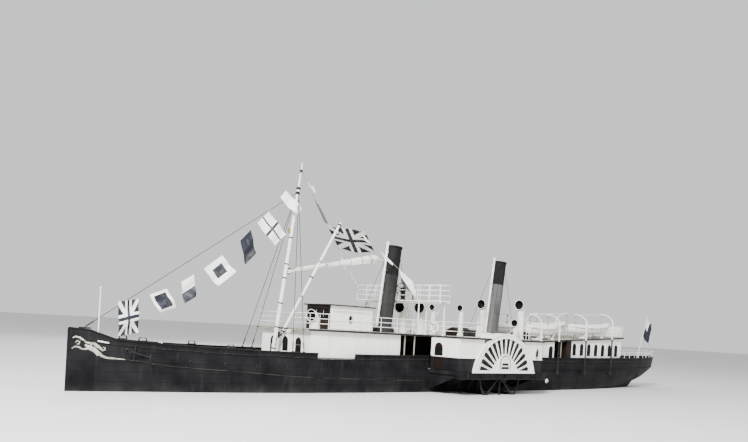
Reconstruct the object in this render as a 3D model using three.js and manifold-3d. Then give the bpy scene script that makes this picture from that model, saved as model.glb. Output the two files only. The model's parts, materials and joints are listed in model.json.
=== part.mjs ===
// A two-funnel excursion paddle steamer at half size. Every size below is in metres of the
// full-size ship: +X to the bow, +Y to port, +Z up from the waterline, X = 0 at the paddle shaft.
import * as THREE from 'three';
import { mergeVertices } from 'three/addons/utils/BufferGeometryUtils.js';
import Module from 'manifold-3d';

const wasm = await Module();
wasm.setup();

const MODEL_MM_PER_METRE = 500;
const GAP = 0.0006;
const WATERWAY = 0.03;

// Driving dimensions
const BOW = 31.3;
const STERN = -32.7;
const PLATING = 0.1;
const DECK_THICKNESS = 0.07;
const RAISED_BOW = 28.8;
const SHAFT_Z = 1.5;
const SHAFT_R = 0.16;
const WHEEL_R = 2.75;
const SPONSON_Y = 6.7;
const HULL_SIDE = 3.64;
const SPONSON_DECK = 1.8;
const BOX_R = 3.68;
const BOX_Z = 1.1;
const BOX_WALL = 0.07;
const PROMENADE_FORE = 16.4;
const PROMENADE_AFT = -22.7;
const PROMENADE_THICKNESS = 0.14;
const SALOON_HALF = 3.0;
const WALL = 0.09;

const LOOKS = {
  black: { color: 0x17171a, roughness: 0.5, metalness: 0.1 },
  white: { color: 0xe9e7e0, roughness: 0.45, metalness: 0 },
  deck: { color: 0x9c8768, roughness: 0.8, metalness: 0 },
  grey: { color: 0x8d8b86, roughness: 0.5, metalness: 0.1 },
  varnish: { color: 0x8a5a34, roughness: 0.4, metalness: 0 },
  iron: { color: 0x3a3a3c, roughness: 0.6, metalness: 0.6 },
  cloth: { color: 0xe6e3da, roughness: 0.9, metalness: 0 },
  dark: { color: 0x2b2f3a, roughness: 0.9, metalness: 0 },
};

const ship = new THREE.Group();
ship.scale.setScalar(MODEL_MM_PER_METRE);

// Solids

function solid(geometry) {
  const plain = new THREE.BufferGeometry();
  plain.setAttribute('position', geometry.getAttribute('position'));
  if (geometry.index) plain.setIndex(geometry.index);
  const merged = mergeVertices(plain, 1e-5);
  const vertProperties = new Float32Array(merged.getAttribute('position').array);
  const triVerts = new Uint32Array(merged.index.array);
  const whole = new wasm.Manifold(new wasm.Mesh({ numProp: 3, vertProperties, triVerts }));
  if (whole.volume() > 0) return whole;
  for (let i = 0; i < triVerts.length; i += 3) {
    [triVerts[i], triVerts[i + 1]] = [triVerts[i + 1], triVerts[i]];
  }
  return new wasm.Manifold(new wasm.Mesh({ numProp: 3, vertProperties, triVerts }));
}

function union(parts) {
  return parts.reduce((whole, part) => whole.add(part));
}

function cut(whole, ...tools) {
  return tools.reduce((left, tool) => left.subtract(tool), whole);
}

function mirrored(part) {
  return part.scale([1, -1, 1]);
}

function bothSides(part) {
  return part.add(mirrored(part));
}

function box(x0, x1, y0, y1, z0, z1) {
  const geometry = new THREE.BoxGeometry(x1 - x0, y1 - y0, z1 - z0);
  geometry.translate((x0 + x1) / 2, (y0 + y1) / 2, (z0 + z1) / 2);
  return solid(geometry);
}

// A straight round or square bar between two points
function bar(from, to, radius, endRadius = radius, sides = 6) {
  const a = new THREE.Vector3(...from);
  const b = new THREE.Vector3(...to);
  const geometry = new THREE.CylinderGeometry(endRadius, radius, a.distanceTo(b), sides);
  const turn = new THREE.Quaternion().setFromUnitVectors(
    new THREE.Vector3(0, 1, 0), b.clone().sub(a).normalize());
  geometry.applyQuaternion(turn);
  geometry.translate(...a.clone().add(b).multiplyScalar(0.5).toArray());
  return solid(geometry);
}

function bars(points, radius, sides = 6) {
  return union(points.slice(1).map((point, i) => bar(points[i], point, radius, radius, sides)));
}

// A closed outline of [a, b] points, pushed from one level to another along X, Y or Z
function prism(outline, axis, low, high) {
  const shape = new THREE.Shape(outline.map(([a, b]) => new THREE.Vector2(a, b)));
  return extruded(shape, axis, low, high);
}

function extruded(shape, axis, low, high, curveSegments = 12) {
  const geometry = new THREE.ExtrudeGeometry(
    shape, { depth: high - low, bevelEnabled: false, curveSegments });
  geometry.translate(0, 0, low);
  if (axis === 'y') {
    geometry.rotateX(Math.PI / 2);
    geometry.scale(1, -1, 1);
  }
  if (axis === 'x') {
    geometry.rotateX(Math.PI / 2);
    geometry.rotateZ(Math.PI / 2);
  }
  return solid(geometry);
}

// A tapering round column with its wall open at the top
function lathe(profile, segments = 16) {
  const geometry = new THREE.LatheGeometry(
    profile.map(([r, z]) => new THREE.Vector2(r, z)), segments);
  geometry.rotateX(Math.PI / 2);
  return solid(geometry);
}

// Sections are loops of [x, y, z] points with the same count, from bow to stern. The faces'
// diagonals are chosen so that port and starboard mirror each other.
function loft(sections) {
  const count = sections[0].length;
  const positions = sections.flat(2);
  const index = [];
  for (let s = 0; s + 1 < sections.length; s += 1) {
    for (let i = 0; i < count; i += 1) {
      const next = (i + 1) % count;
      const [a, b] = [s * count + i, s * count + next];
      const [c, d] = [a + count, b + count];
      const starboard = sections[s][i][1] + sections[s][next][1] < 0;
      if (starboard) index.push(a, b, d, a, d, c);
      else index.push(a, b, c, b, d, c);
    }
  }
  const last = (sections.length - 1) * count;
  for (let i = 1; i + 1 < count; i += 1) {
    index.push(0, i + 1, i);
    index.push(last, last + i, last + i + 1);
  }
  const geometry = new THREE.BufferGeometry();
  geometry.setAttribute('position', new THREE.Float32BufferAttribute(positions, 3));
  geometry.setIndex(index);
  return solid(geometry);
}

function add(name, part, look, position = [0, 0, 0]) {
  const data = part.getMesh();
  const geometry = new THREE.BufferGeometry();
  geometry.setAttribute('position', new THREE.BufferAttribute(data.vertProperties, 3));
  geometry.setIndex(new THREE.BufferAttribute(data.triVerts, 1));
  const material = new THREE.MeshStandardMaterial(LOOKS[look]);
  const mesh = new THREE.Mesh(geometry, material);
  mesh.name = name;
  mesh.position.set(...position);
  ship.add(mesh);
}

function pair(name, part, look) {
  add(`${name}_port`, part, look);
  add(`${name}_starboard`, mirrored(part), look);
}

// The ship's lines

// columns: x, rail height, deck height, half-beam at rail, level of the lower half-beam,
// lower half-beam, keel height, fullness below that level
const LINES = [
  [31.3, 3.35, 2.45, 0.1, 0, 0.06, -1.6, 1.6],
  [30.3, 3.27, 2.33, 0.55, 0, 0.26, -1.75, 1.5],
  [28.8, 3.15, 2.2, 1.1, 0, 0.6, -1.75, 1.5],
  [26.3, 3.0, 2.03, 1.8, 0, 1.15, -1.75, 1.6],
  [23.4, 2.88, 1.9, 2.4, 0, 1.8, -1.75, 1.9],
  [20.4, 2.8, 1.82, 2.9, 0, 2.4, -1.75, 2.5],
  [16.4, 2.74, 1.76, 3.3, 0, 2.95, -1.75, 3.4],
  [11.4, 2.72, 1.73, 3.53, 0, 3.3, -1.75, 4.5],
  [5.4, 2.78, 1.73, 3.6, 0, 3.45, -1.75, 5],
  [-4.6, 2.84, 1.75, 3.6, 0, 3.45, -1.75, 4.5],
  [-10.6, 2.9, 1.8, 3.56, 0.3, 3.4, -1.75, 3],
  [-16.6, 2.96, 1.88, 3.42, 0.7, 3.2, -1.75, 1.9],
  [-21.6, 3.02, 1.98, 3.14, 1.1, 2.86, -1.75, 1.35],
  [-25.1, 3.06, 2.06, 2.78, 1.3, 2.42, -1.75, 1],
  [-27.1, 3.09, 2.11, 2.5, 1.45, 2.1, -1.75, 0.85],
  [-27.2, 3.09, 2.11, 2.48, 1.45, 2.08, 0.05, 1.3],
  [-29.2, 3.13, 2.17, 2.02, 1.65, 1.6, 0.6, 1.4],
  [-31.1, 3.18, 2.23, 1.38, 2, 1.08, 1.5, 1.6],
  [-32.2, 3.22, 2.27, 0.8, 2.25, 0.6, 1.98, 1.8],
  [-32.7, 3.24, 2.3, 0.35, 2.5, 0.25, 2.25, 2],
];
const [RAIL, DECK, HALF_RAIL, LEVEL, HALF_LOWER, KEEL, FULLNESS] = [1, 2, 3, 4, 5, 6, 7];

function line(column, x) {
  const inside = Math.min(Math.max(x, STERN), BOW);
  const next = LINES.findIndex((row) => row[0] <= inside);
  if (next <= 0) return LINES[0][column];
  const [fore, aft] = [LINES[next - 1], LINES[next]];
  const part = (fore[0] - inside) / (fore[0] - aft[0]);
  return fore[column] + part * (aft[column] - fore[column]);
}

function railAt(x) {
  return line(RAIL, x) + (x > RAISED_BOW ? 0.4 : 0);
}

function sideAt(x, z) {
  const low = line(LEVEL, x);
  const rise = (z - low) / (line(RAIL, x) - low);
  return line(HALF_LOWER, x) + (line(HALF_RAIL, x) - line(HALF_LOWER, x)) * rise;
}

// Half a section from the keel up to the given height
function halfSection(x, top) {
  const steps = 6;
  const [low, half, keel, fullness] = [LEVEL, HALF_LOWER, KEEL, FULLNESS].map((c) => line(c, x));
  const points = [];
  for (let i = 0; i <= steps; i += 1) {
    const angle = (i / steps) * Math.PI / 2;
    const out = half * Math.sin(angle) ** (2 / fullness);
    const down = (low - keel) * Math.cos(angle) ** (2 / fullness);
    points.push([out, low - down]);
  }
  points.push([sideAt(x, top), top]);
  return points;
}

function hullStations() {
  const xs = LINES.map((row) => row[0]);
  return xs.flatMap((x, i) => {
    const gap = x - (xs[i + 1] ?? x);
    return gap > 2.5 ? [x, x - gap / 2] : [x];
  });
}

function hullSolid() {
  return loft(hullStations().map((x) => {
    const half = halfSection(x, line(DECK, x) - DECK_THICKNESS - GAP);
    const port = half.slice(1).map(([y, z]) => [x, y, z]);
    const starboard = half.slice(1).reverse().map(([y, z]) => [x, -y, z]);
    return [[x, 0, half[0][1]], ...port, ...starboard];
  }));
}

// The ship's plan between two heights, moved in by an inset, from one station to another
function planBand(bottom, top, inset, fore = BOW, aft = STERN) {
  const inner = hullStations().filter((x) => x < fore && x > aft);
  const xs = [fore, ...inner, aft];
  return loft(xs.map((x) => {
    const [low, high] = [bottom(x), top(x)];
    const yLow = Math.max(sideAt(x, low) - inset, 0.02);
    const yHigh = Math.max(sideAt(x, high) - inset, 0.02);
    return [[x, -yLow, low], [x, yLow, low], [x, yHigh, high], [x, -yHigh, high]];
  }));
}

const deckTop = (x) => line(DECK, x);
const deckUnder = (x) => line(DECK, x) - DECK_THICKNESS;

// columns: x, height of the promenade deck, its half-width
const PROMENADE = [
  [16.4, 4.38, 3.2],
  [0, 4.38, 3.2],
  [-9.3, 4.38, 3.35],
  [-13, 4.6, 3.24],
  [-17.6, 4.82, 3.1],
  [-22.7, 5.1, 2.9],
];

function promenadeLine(column, x) {
  const next = PROMENADE.findIndex((row) => row[0] <= x);
  if (next === 0) return PROMENADE[0][column];
  if (next < 0) return PROMENADE.at(-1)[column];
  const [fore, aft] = [PROMENADE[next - 1], PROMENADE[next]];
  return fore[column] + (fore[0] - x) / (fore[0] - aft[0]) * (aft[column] - fore[column]);
}
const promenadeTop = (x) => promenadeLine(1, x);
const promenadeUnder = (x) => promenadeTop(x) - PROMENADE_THICKNESS;
const promenadeHalf = (x) => promenadeLine(2, x);

// A wide strip that follows two heights, used as a slab or to trim walls
function strip(fore, aft, half, bottom, top) {
  const knots = [...LINES, ...PROMENADE].map((row) => row[0]).filter((x) => x < fore && x > aft);
  const xs = [fore, ...new Set(knots.sort((a, b) => b - a)), aft];
  return loft(xs.map((x) => {
    const y = half(x);
    return [[x, -y, bottom(x)], [x, y, bottom(x)], [x, y, top(x)], [x, -y, top(x)]];
  }));
}

const betweenDecks = strip(
  BOW - 1, STERN + 1, () => SPONSON_Y + 1,
  (x) => deckTop(x) + GAP, (x) => promenadeUnder(x) - GAP);

const belowPromenade = strip(
  PROMENADE_FORE + 1, PROMENADE_AFT - 1, () => SPONSON_Y + 1,
  (x) => promenadeTop(x) - 2, (x) => promenadeTop(x) + GAP);

// What stands on the promenade deck, trimmed to its sheer
function onPromenade(part) {
  return part.subtract(belowPromenade);
}

function boxCylinder(radius, y0, y1) {
  const shape = new THREE.Shape();
  shape.absarc(0, BOX_Z, radius, 0, Math.PI * 2);
  return extruded(shape, 'y', y0, y1, 24);
}

// Hull, deck and bulwarks

const RUDDER_X = -27.45;
const STOCK_R = 0.09;
const STOCK_TOP = 0.34;
const STOCK_SIDES = 10;

const stockBoreR = (STOCK_R + GAP) / Math.cos(Math.PI / STOCK_SIDES);
const stockBore = bar(
  [RUDDER_X, 0, -0.5], [RUDDER_X, 0, STOCK_TOP + GAP], stockBoreR, stockBoreR, STOCK_SIDES);
const shaftTrench = box(-0.4, 0.4, -8, 8, SHAFT_Z - 0.4, 4);
add('hull', cut(hullSolid(), shaftTrench, stockBore), 'black');

const mainDeck = planBand(deckUnder, deckTop, PLATING + WATERWAY, BOW - 0.4, STERN + 0.2);
add('main_deck', mainDeck, 'deck');

function bulwarks() {
  const outer = planBand(deckUnder, railAt, 0);
  const inner = planBand(
    (x) => deckUnder(x) - 0.2, (x) => railAt(x) + 0.2, PLATING, BOW - 0.3, STERN + 0.1);
  const lid = planBand((x) => railAt(x) - 0.06, railAt, -0.05);
  const lidInner = planBand(
    (x) => railAt(x) - 0.3, (x) => railAt(x) + 0.2, PLATING + 0.08, BOW - 0.4, STERN + 0.2);
  const sponsonGap = box(-5.2, 5.2, -8, 8, 0, 6);
  const gangways = box(12.4, 15.6, -8, 8, 2.36, 6);
  return cut(outer.add(lid), inner, lidInner, sponsonGap, gangways);
}
const [foreBulwark, aftBulwark] = bulwarks().decompose()
  .sort((a, b) => b.boundingBox().max[0] - a.boundingBox().max[0]);
add('bulwark_fore', foreBulwark, 'black');
add('bulwark_aft', aftBulwark, 'black');

// Rudder, under the counter behind the sternpost

const rudderBlade = prism(
  [[RUDDER_X, -1.6], [RUDDER_X, -0.05], [-28.3, -0.05], [-28.9, -0.55], [-28.8, -1.6]],
  'y', -0.07, 0.07);
const rudderStock = bar(
  [RUDDER_X, 0, -1.66], [RUDDER_X, 0, STOCK_TOP], STOCK_R, STOCK_R, STOCK_SIDES);
add('rudder', rudderBlade.add(rudderStock), 'black');

// Paddle wheels on one shaft

const FLOATS = 8;
const FLOAT_DEPTH = 0.9;
const WHEEL_RING = 2.42;
const HUB_R = 0.5;
const WHEEL_IN = 3.95;
const WHEEL_OUT = 6.3;

function turned(part, angle) {
  return part.translate([0, 0, -SHAFT_Z]).rotate([0, angle, 0]).translate([0, 0, SHAFT_Z]);
}

function ring(outer, inner, y0, y1, sides) {
  const shape = new THREE.Shape();
  shape.absarc(0, SHAFT_Z, outer, 0, Math.PI * 2);
  const hole = new THREE.Path();
  hole.absarc(0, SHAFT_Z, inner, 0, Math.PI * 2);
  shape.holes.push(hole);
  return extruded(shape, 'y', y0, y1, sides);
}

function disc(radius, y0, y1, sides) {
  const shape = new THREE.Shape();
  shape.absarc(0, SHAFT_Z, radius, 0, Math.PI * 2);
  return extruded(shape, 'y', y0, y1, sides);
}

function paddleWheel() {
  const spoke = box(-0.07, 0.07, WHEEL_IN, WHEEL_IN + 0.08, SHAFT_Z, SHAFT_Z + WHEEL_RING + 0.03);
  const outerSpoke = spoke.translate([0, WHEEL_OUT - WHEEL_IN - 0.08, 0]);
  const floatBoard = box(
    -0.04, 0.04, WHEEL_IN + 0.02, WHEEL_OUT - 0.02, SHAFT_Z + WHEEL_R - FLOAT_DEPTH, SHAFT_Z + WHEEL_R);
  const parts = [
    disc(HUB_R, WHEEL_IN, WHEEL_IN + 0.14, 6),
    disc(HUB_R, WHEEL_OUT - 0.14, WHEEL_OUT, 6),
    disc(SHAFT_R, 3.4, SPONSON_Y - 0.3, 8),
    disc(SHAFT_R, SPONSON_Y - 0.3, SPONSON_Y - 0.1, 24),
  ];
  for (const y of [WHEEL_IN, WHEEL_OUT - 0.08]) {
    parts.push(ring(WHEEL_RING, WHEEL_RING - 0.14, y, y + 0.08, 8));
  }
  for (let i = 0; i < FLOATS; i += 1) {
    const angle = i * 360 / FLOATS;
    parts.push(turned(spoke, angle), turned(outerSpoke, angle), turned(floatBoard, angle));
  }
  return union(parts);
}
add('paddle_wheels', bothSides(paddleWheel()).add(disc(SHAFT_R, -3.5, 3.5, 8)), 'iron');

// Sponsons: platforms round the wheels, with the outer bearing

const WHEEL_BAY = 3.15;
const SPONSON_X = 5.15;
const SPONSON_UNDER = SPONSON_DECK - 0.28;
const HULL_JOINT = 3.2;
const KNEES = [4.95, 3.4, -3.4, -4.95];

// What the sponsons fit against: the side of the ship with a small joint
const alongside = planBand(() => 0, () => 3, -0.004, 9, -10);

function sponson() {
  const rim = SPONSON_Y - 0.28;
  const platform = box(-SPONSON_X, SPONSON_X, HULL_JOINT, SPONSON_Y, SPONSON_UNDER, SPONSON_DECK);
  const guard = box(-SPONSON_X - 0.05, SPONSON_X + 0.05, rim, SPONSON_Y, 1.25, SPONSON_DECK);
  const bay = box(-WHEEL_BAY, WHEEL_BAY, HULL_JOINT - 0.1, rim, 0, 3);
  const bearing = box(-0.35, 0.35, rim, SPONSON_Y - 0.02, SHAFT_Z - 0.45, SPONSON_DECK);
  const bore = disc((SHAFT_R + GAP) / Math.cos(Math.PI / 48), 6, 8, 24);
  const knees = KNEES.map((x) => prism(
    [[HULL_JOINT, 0.35], [HULL_JOINT, 1.6], [rim, 1.6], [rim, 1.45], [HULL_SIDE, 0.35]],
    'x', x - 0.08, x + 0.08));
  const wing = prism(
    [[-SPONSON_X, HULL_JOINT], [-SPONSON_X - 2.3, HULL_JOINT], [-SPONSON_X - 2.3, HULL_SIDE],
      [-SPONSON_X - 1.9, 4.3], [-SPONSON_X, 5.6]],
    'z', SPONSON_UNDER, SPONSON_DECK);
  return cut(union([cut(platform, bay), guard, bearing, ...knees, wing]), bore, alongside);
}
pair('sponson', sponson(), 'black');

// Paddle boxes: a half drum with a slotted face

const SLOTS = 14;
const SLOT_ROOT = 1.62;
const SLOT_TIP = 2.96;

function halfDrum(radius, y0, y1, base) {
  const half = Math.sqrt(radius ** 2 - (base - BOX_Z) ** 2);
  const start = Math.atan2(base - BOX_Z, half);
  const shape = new THREE.Shape();
  shape.absarc(0, BOX_Z, radius, start, Math.PI - start);
  return extruded(shape, 'y', y0, y1, 16);
}

function faceSlots() {
  const middle = SPONSON_DECK - 0.35;
  const slots = [];
  for (let i = 0; i < SLOTS; i += 1) {
    const angle = Math.PI * (0.06 + 0.88 * i / (SLOTS - 1));
    const [c, s] = [Math.cos(angle), Math.sin(angle)];
    const tip = SLOT_TIP + 0.1 * s;
    const [narrow, wide] = [0.035, 0.16];
    const point = (r, w) => [c * r - s * w, middle + s * r + c * w];
    slots.push(prism(
      [point(SLOT_ROOT, -narrow), point(tip - wide, -wide), point(tip, 0),
        point(tip - wide, wide), point(SLOT_ROOT, narrow)],
      'y', SPONSON_Y - 0.2, SPONSON_Y + 0.2));
  }
  return slots;
}

function paddleBox() {
  const base = SPONSON_DECK + GAP;
  const drum = halfDrum(BOX_R - 0.06, HULL_SIDE, SPONSON_Y - 0.02, base);
  const hollow = halfDrum(BOX_R - 0.06 - BOX_WALL, HULL_SIDE + 0.06, SPONSON_Y - 0.1, base - 1);
  const face = halfDrum(BOX_R - 0.05, SPONSON_Y - 0.1, SPONSON_Y, base);
  const rim = cut(
    halfDrum(BOX_R, SPONSON_Y - 0.14, SPONSON_Y + 0.05, base),
    halfDrum(BOX_R - 0.36, SPONSON_Y - 0.3, SPONSON_Y + 0.2, base - 1));
  const sill = box(-BOX_R + 0.1, BOX_R - 0.1, SPONSON_Y - 0.1, SPONSON_Y + 0.05, base, base + 0.14);
  const plate = prism(
    [[-0.8, base], [-0.8, base + 0.75], [-0.62, base + 1.1], [-0.3, base + 1.32], [0, base + 1.38],
      [0.3, base + 1.32], [0.62, base + 1.1], [0.8, base + 0.75], [0.8, base]],
    'y', SPONSON_Y - 0.05, SPONSON_Y + 0.04);
  const shell = cut(drum, hollow);
  return union([cut(shell.add(face), ...faceSlots()), rim, sill, plate]);
}
pair('paddle_box', paddleBox(), 'white');

// Promenade deck

const FUNNEL_FORE = 6.87;
const FUNNEL_AFT = -5.85;

function promenadeDeck() {
  const main = strip(PROMENADE_FORE, PROMENADE_AFT, promenadeHalf, promenadeUnder, promenadeTop);
  const wing = box(-4.75, SPONSON_X, -SPONSON_Y - 0.05, SPONSON_Y + 0.05, 4.24, 4.38);
  const boxes = bothSides(halfDrum(BOX_R + WATERWAY, HULL_SIDE - WATERWAY, SPONSON_Y + 0.2, 2));
  const posts = [];
  for (const [x, y] of [[7.35, 3.05], [6.35, 3.05], [-5.6, 3.2], [-8.9, 3.2], [-12.1, 3.1]]) {
    posts.push(bar([x, y, deckTop(x) + 0.002], [x, y, promenadeUnder(x) + 0.05], 0.05, 0.05, 8));
  }
  const mastNotch = box(15.75, 17, -0.75, 0.75, 4, 5);
  return cut(main.add(wing), boxes, mastNotch).add(bothSides(union(posts)));
}
add('promenade_deck', promenadeDeck(), 'deck');

// Deckhouses between the main deck and the promenade deck

function room(outline, walls) {
  return prism(outline, 'z', 1, 6).subtract(prism(walls, 'z', 0, 7)).intersect(betweenDecks);
}

function rectangle(x0, x1, y0, y1) {
  return [[x0, y0], [x1, y0], [x1, y1], [x0, y1]];
}

// An arched hole or leaf: a straight part with a round head, across X or Y
function arch(axis, middle, width, sill, top, low, high) {
  const r = width / 2;
  const shape = new THREE.Shape();
  shape.moveTo(middle - r, sill);
  shape.lineTo(middle + r, sill);
  shape.lineTo(middle + r, top - r);
  shape.absarc(middle, top - r, r, 0, Math.PI);
  return extruded(shape, axis, low, high, 3);
}

const FORE_DOOR = 1.55;
const DOOR_WIDTH = 0.72;
const SALOON_FORE = 16.05;
const SALOON_AFT = 7.75;

function foreSaloon() {
  const walls = room(
    rectangle(SALOON_AFT, SALOON_FORE, -SALOON_HALF, SALOON_HALF),
    rectangle(SALOON_AFT + WALL, SALOON_FORE - WALL, WALL - SALOON_HALF, SALOON_HALF - WALL));
  const doorway = arch('x', FORE_DOOR, DOOR_WIDTH, 1.6, 3.75, SALOON_FORE - 0.3, SALOON_FORE + 0.3);
  const window = arch('x', 0, 0.7, 2.7, 3.75, SALOON_FORE - 0.3, SALOON_FORE + 0.3);
  return cut(walls, bothSides(doorway), window);
}
add('fore_saloon', foreSaloon(), 'white');

// A leaf is narrower than its doorway, with nearly all of the play on the side of its handle
const DOOR_PLAY = 0.03;
const DOOR_THICKNESS = 0.06;
const HINGE_SHIFT = DOOR_PLAY / 2 - GAP;

function foreSaloonDoor() {
  const [inner, outer] = [SALOON_FORE - DOOR_THICKNESS, SALOON_FORE];
  const leaf = arch(
    'x', FORE_DOOR + HINGE_SHIFT, DOOR_WIDTH - DOOR_PLAY, deckTop(SALOON_FORE) + 0.03, 3.735, inner, outer);
  const knobY = FORE_DOOR - 0.26;
  return leaf.add(bar([outer - 0.01, knobY, 2.75], [outer + 0.06, knobY, 2.75], 0.035));
}
pair('fore_saloon_door', foreSaloonDoor(), 'varnish');

function machineryCasing() {
  const walls = room(rectangle(-8.8, 7.2, -1.7, 1.7), rectangle(-8.71, 7.11, -1.61, 1.61));
  const doorways = [5.6, -7.4].map((x) => arch('y', x, 0.7, 1.6, 3.7, -2, 2));
  return cut(walls, ...doorways);
}
add('machinery_casing', machineryCasing(), 'white');
add('engine_block', box(-1.6, 2.4, -1.2, 1.2, 1, 3.6).intersect(betweenDecks), 'iron');

const AFT_HALF = 3.2;
const AFT_DOOR = -10.5;
const AFT_DOOR_WIDTH = 0.66;
const AFT_WINDOWS = 7;
const SALOON_WINDOW = 0.62;

function aftEntrance() {
  const walls = room(
    rectangle(-10.95, -9.3, -AFT_HALF, AFT_HALF),
    rectangle(-10.86, -9.39, WALL - AFT_HALF, AFT_HALF - WALL));
  const doorway = arch('y', AFT_DOOR, AFT_DOOR_WIDTH, 1.6, 3.95, AFT_HALF - 0.3, AFT_HALF + 0.3);
  const inside = arch('x', 0, 0.9, 1.6, 3.95, -11.2, -9);
  return cut(walls, bothSides(doorway), inside);
}
add('aft_entrance_house', aftEntrance(), 'white');

// This leaf and the sponson doors swing inwards, so they are flush with the inside of their wall
function aftEntranceDoor() {
  const inner = AFT_HALF - WALL;
  const outer = inner + DOOR_THICKNESS;
  const leaf = arch(
    'y', AFT_DOOR + HINGE_SHIFT, AFT_DOOR_WIDTH - DOOR_PLAY, 1.83, 3.935, inner, outer);
  const knobX = AFT_DOOR - 0.22;
  return leaf.add(bar([knobX, outer - 0.01, 2.85], [knobX, outer + 0.06, 2.85], 0.035));
}
pair('aft_entrance_door', aftEntranceDoor(), 'varnish');

function taperedRoom(fore, aft, foreHalf, aftHalf) {
  const outer = [[fore, -foreHalf], [fore, foreHalf], [aft, aftHalf], [aft, -aftHalf]];
  const inner = [[fore - WALL, WALL - foreHalf], [fore - WALL, foreHalf - WALL],
    [aft + WALL, aftHalf - WALL], [aft + WALL, WALL - aftHalf]];
  return room(outer, inner);
}

function aftSaloon() {
  const walls = taperedRoom(-13, -22.6, 3.1, 2.72);
  const windows = [];
  for (let i = 0; i < AFT_WINDOWS; i += 1) {
    const x = -14.2 - 1.23 * i;
    windows.push(arch('y', x, SALOON_WINDOW, 3.15, 4.28 + 0.02 * i, 2, 4));
  }
  const doorways = [-13.05, -22.55].map((x) => arch('x', 0, 0.8, 1.6, 3.95, x - 0.3, x + 0.3));
  return cut(walls, bothSides(union(windows)), ...doorways);
}
add('aft_saloon', aftSaloon(), 'white');

// Houses on the sponsons, against the paddle boxes

const HOUSE_FACE = SPONSON_X - 0.03;
const HOUSE_IN = HULL_SIDE + 0.02;
const HOUSE_OUT = SPONSON_Y - 0.1;
const HOUSE_TOP = 4.24 - GAP;
const SPONSON_DOOR = 4.45;
const SPONSON_DOOR_WIDTH = 0.9;

function sponsonHouse(fore, aft, hole, passage) {
  const shell = box(aft, fore, HOUSE_IN, HOUSE_OUT, SPONSON_DECK + GAP, HOUSE_TOP);
  const inside = box(
    aft + WALL, fore - WALL, HOUSE_IN + WALL, HOUSE_OUT - WALL, SPONSON_DECK - 1, HOUSE_TOP - WALL);
  const drum = boxCylinder(BOX_R + WATERWAY, HULL_SIDE - 1, SPONSON_Y + 1);
  const way = box(passage, passage + 0.7, HOUSE_IN - 0.3, HOUSE_IN + 0.3, SPONSON_DECK - 1, 3.8);
  return cut(shell, drum, inside, way, hole);
}

function ovalWindow(x) {
  const shape = new THREE.Shape();
  shape.absellipse(x, 3.3, 0.19, 0.34, 0, Math.PI * 2);
  return extruded(shape, 'y', SPONSON_Y - 0.4, SPONSON_Y + 0.2, 6);
}

const houseDoorway = arch(
  'x', SPONSON_DOOR, SPONSON_DOOR_WIDTH, SPONSON_DECK - 0.2, 3.88, HOUSE_FACE - 0.3, HOUSE_FACE + 0.3);
pair('sponson_house_fore', sponsonHouse(HOUSE_FACE, 2.4, houseDoorway, HOUSE_FACE - 1.2), 'white');
pair('sponson_house_aft', sponsonHouse(-2.4, -4.72, ovalWindow(-4.1), -4.32), 'white');

function sponsonDoor() {
  const inner = HOUSE_FACE - WALL;
  const outer = inner + DOOR_THICKNESS;
  const leaf = arch(
    'x', SPONSON_DOOR - HINGE_SHIFT, SPONSON_DOOR_WIDTH - DOOR_PLAY, SPONSON_DECK + 0.03, 3.865,
    inner, outer);
  const knobY = SPONSON_DOOR + 0.32;
  return leaf.add(bar([outer - 0.01, knobY, 2.95], [outer + 0.06, knobY, 2.95], 0.035));
}
pair('sponson_door', sponsonDoor(), 'varnish');

// Funnels, raked aft, each with a steam pipe on its fore side

const FUNNEL_RAKE = 6;
const FUNNEL_TOP = 11.2;
const FUNNEL_R = 0.6;
const FUNNEL_WALL = 0.05;
const FUNNEL_DEPTH = 3;

function funnel(x) {
  const base = promenadeTop(x) + GAP;
  const top = FUNNEL_TOP - base;
  const r = FUNNEL_R;
  const column = lathe([
    [0, -0.3], [r + 0.25, -0.3], [r + 0.25, 0.35], [r + 0.05, 0.5], [r, 0.55], [r, top - 2.02],
    [r + 0.02, top - 2.02], [r + 0.02, top - 1.96], [r, top - 1.96], [r, top - 0.12],
    [r + 0.05, top - 0.1], [r + 0.05, top], [0, top]]);
  const pipeX = r + 0.14;
  const pipe = bar([pipeX, 0, 0.2], [pipeX, 0, top + 0.25], 0.1, 0.1, 8);
  const clips = [0.45, 0.75].map((share) => box(
    r - 0.05, pipeX, -0.05, 0.05, share * top, share * top + 0.1));
  const bore = bar([0, 0, top - FUNNEL_DEPTH], [0, 0, top + 1], r - FUNNEL_WALL, r - FUNNEL_WALL, 16);
  const whole = cut(union([column, pipe, ...clips]), bore);
  return onPromenade(whole.rotate([0, -FUNNEL_RAKE, 0]).translate([x, 0, base]));
}
add('funnel_fore', funnel(FUNNEL_FORE), 'grey');
add('funnel_aft', funnel(FUNNEL_AFT), 'grey');

// Charthouse on the promenade deck, with its door in the aft wall

const CHART_FORE = 13.3;
const CHART_AFT = 9.3;
const CHART_HALF = 1.4;
const CHART_TOP = 6.2;
const CHART_DOOR = 0.33;
const CHART_OVAL = 11.35;

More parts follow.
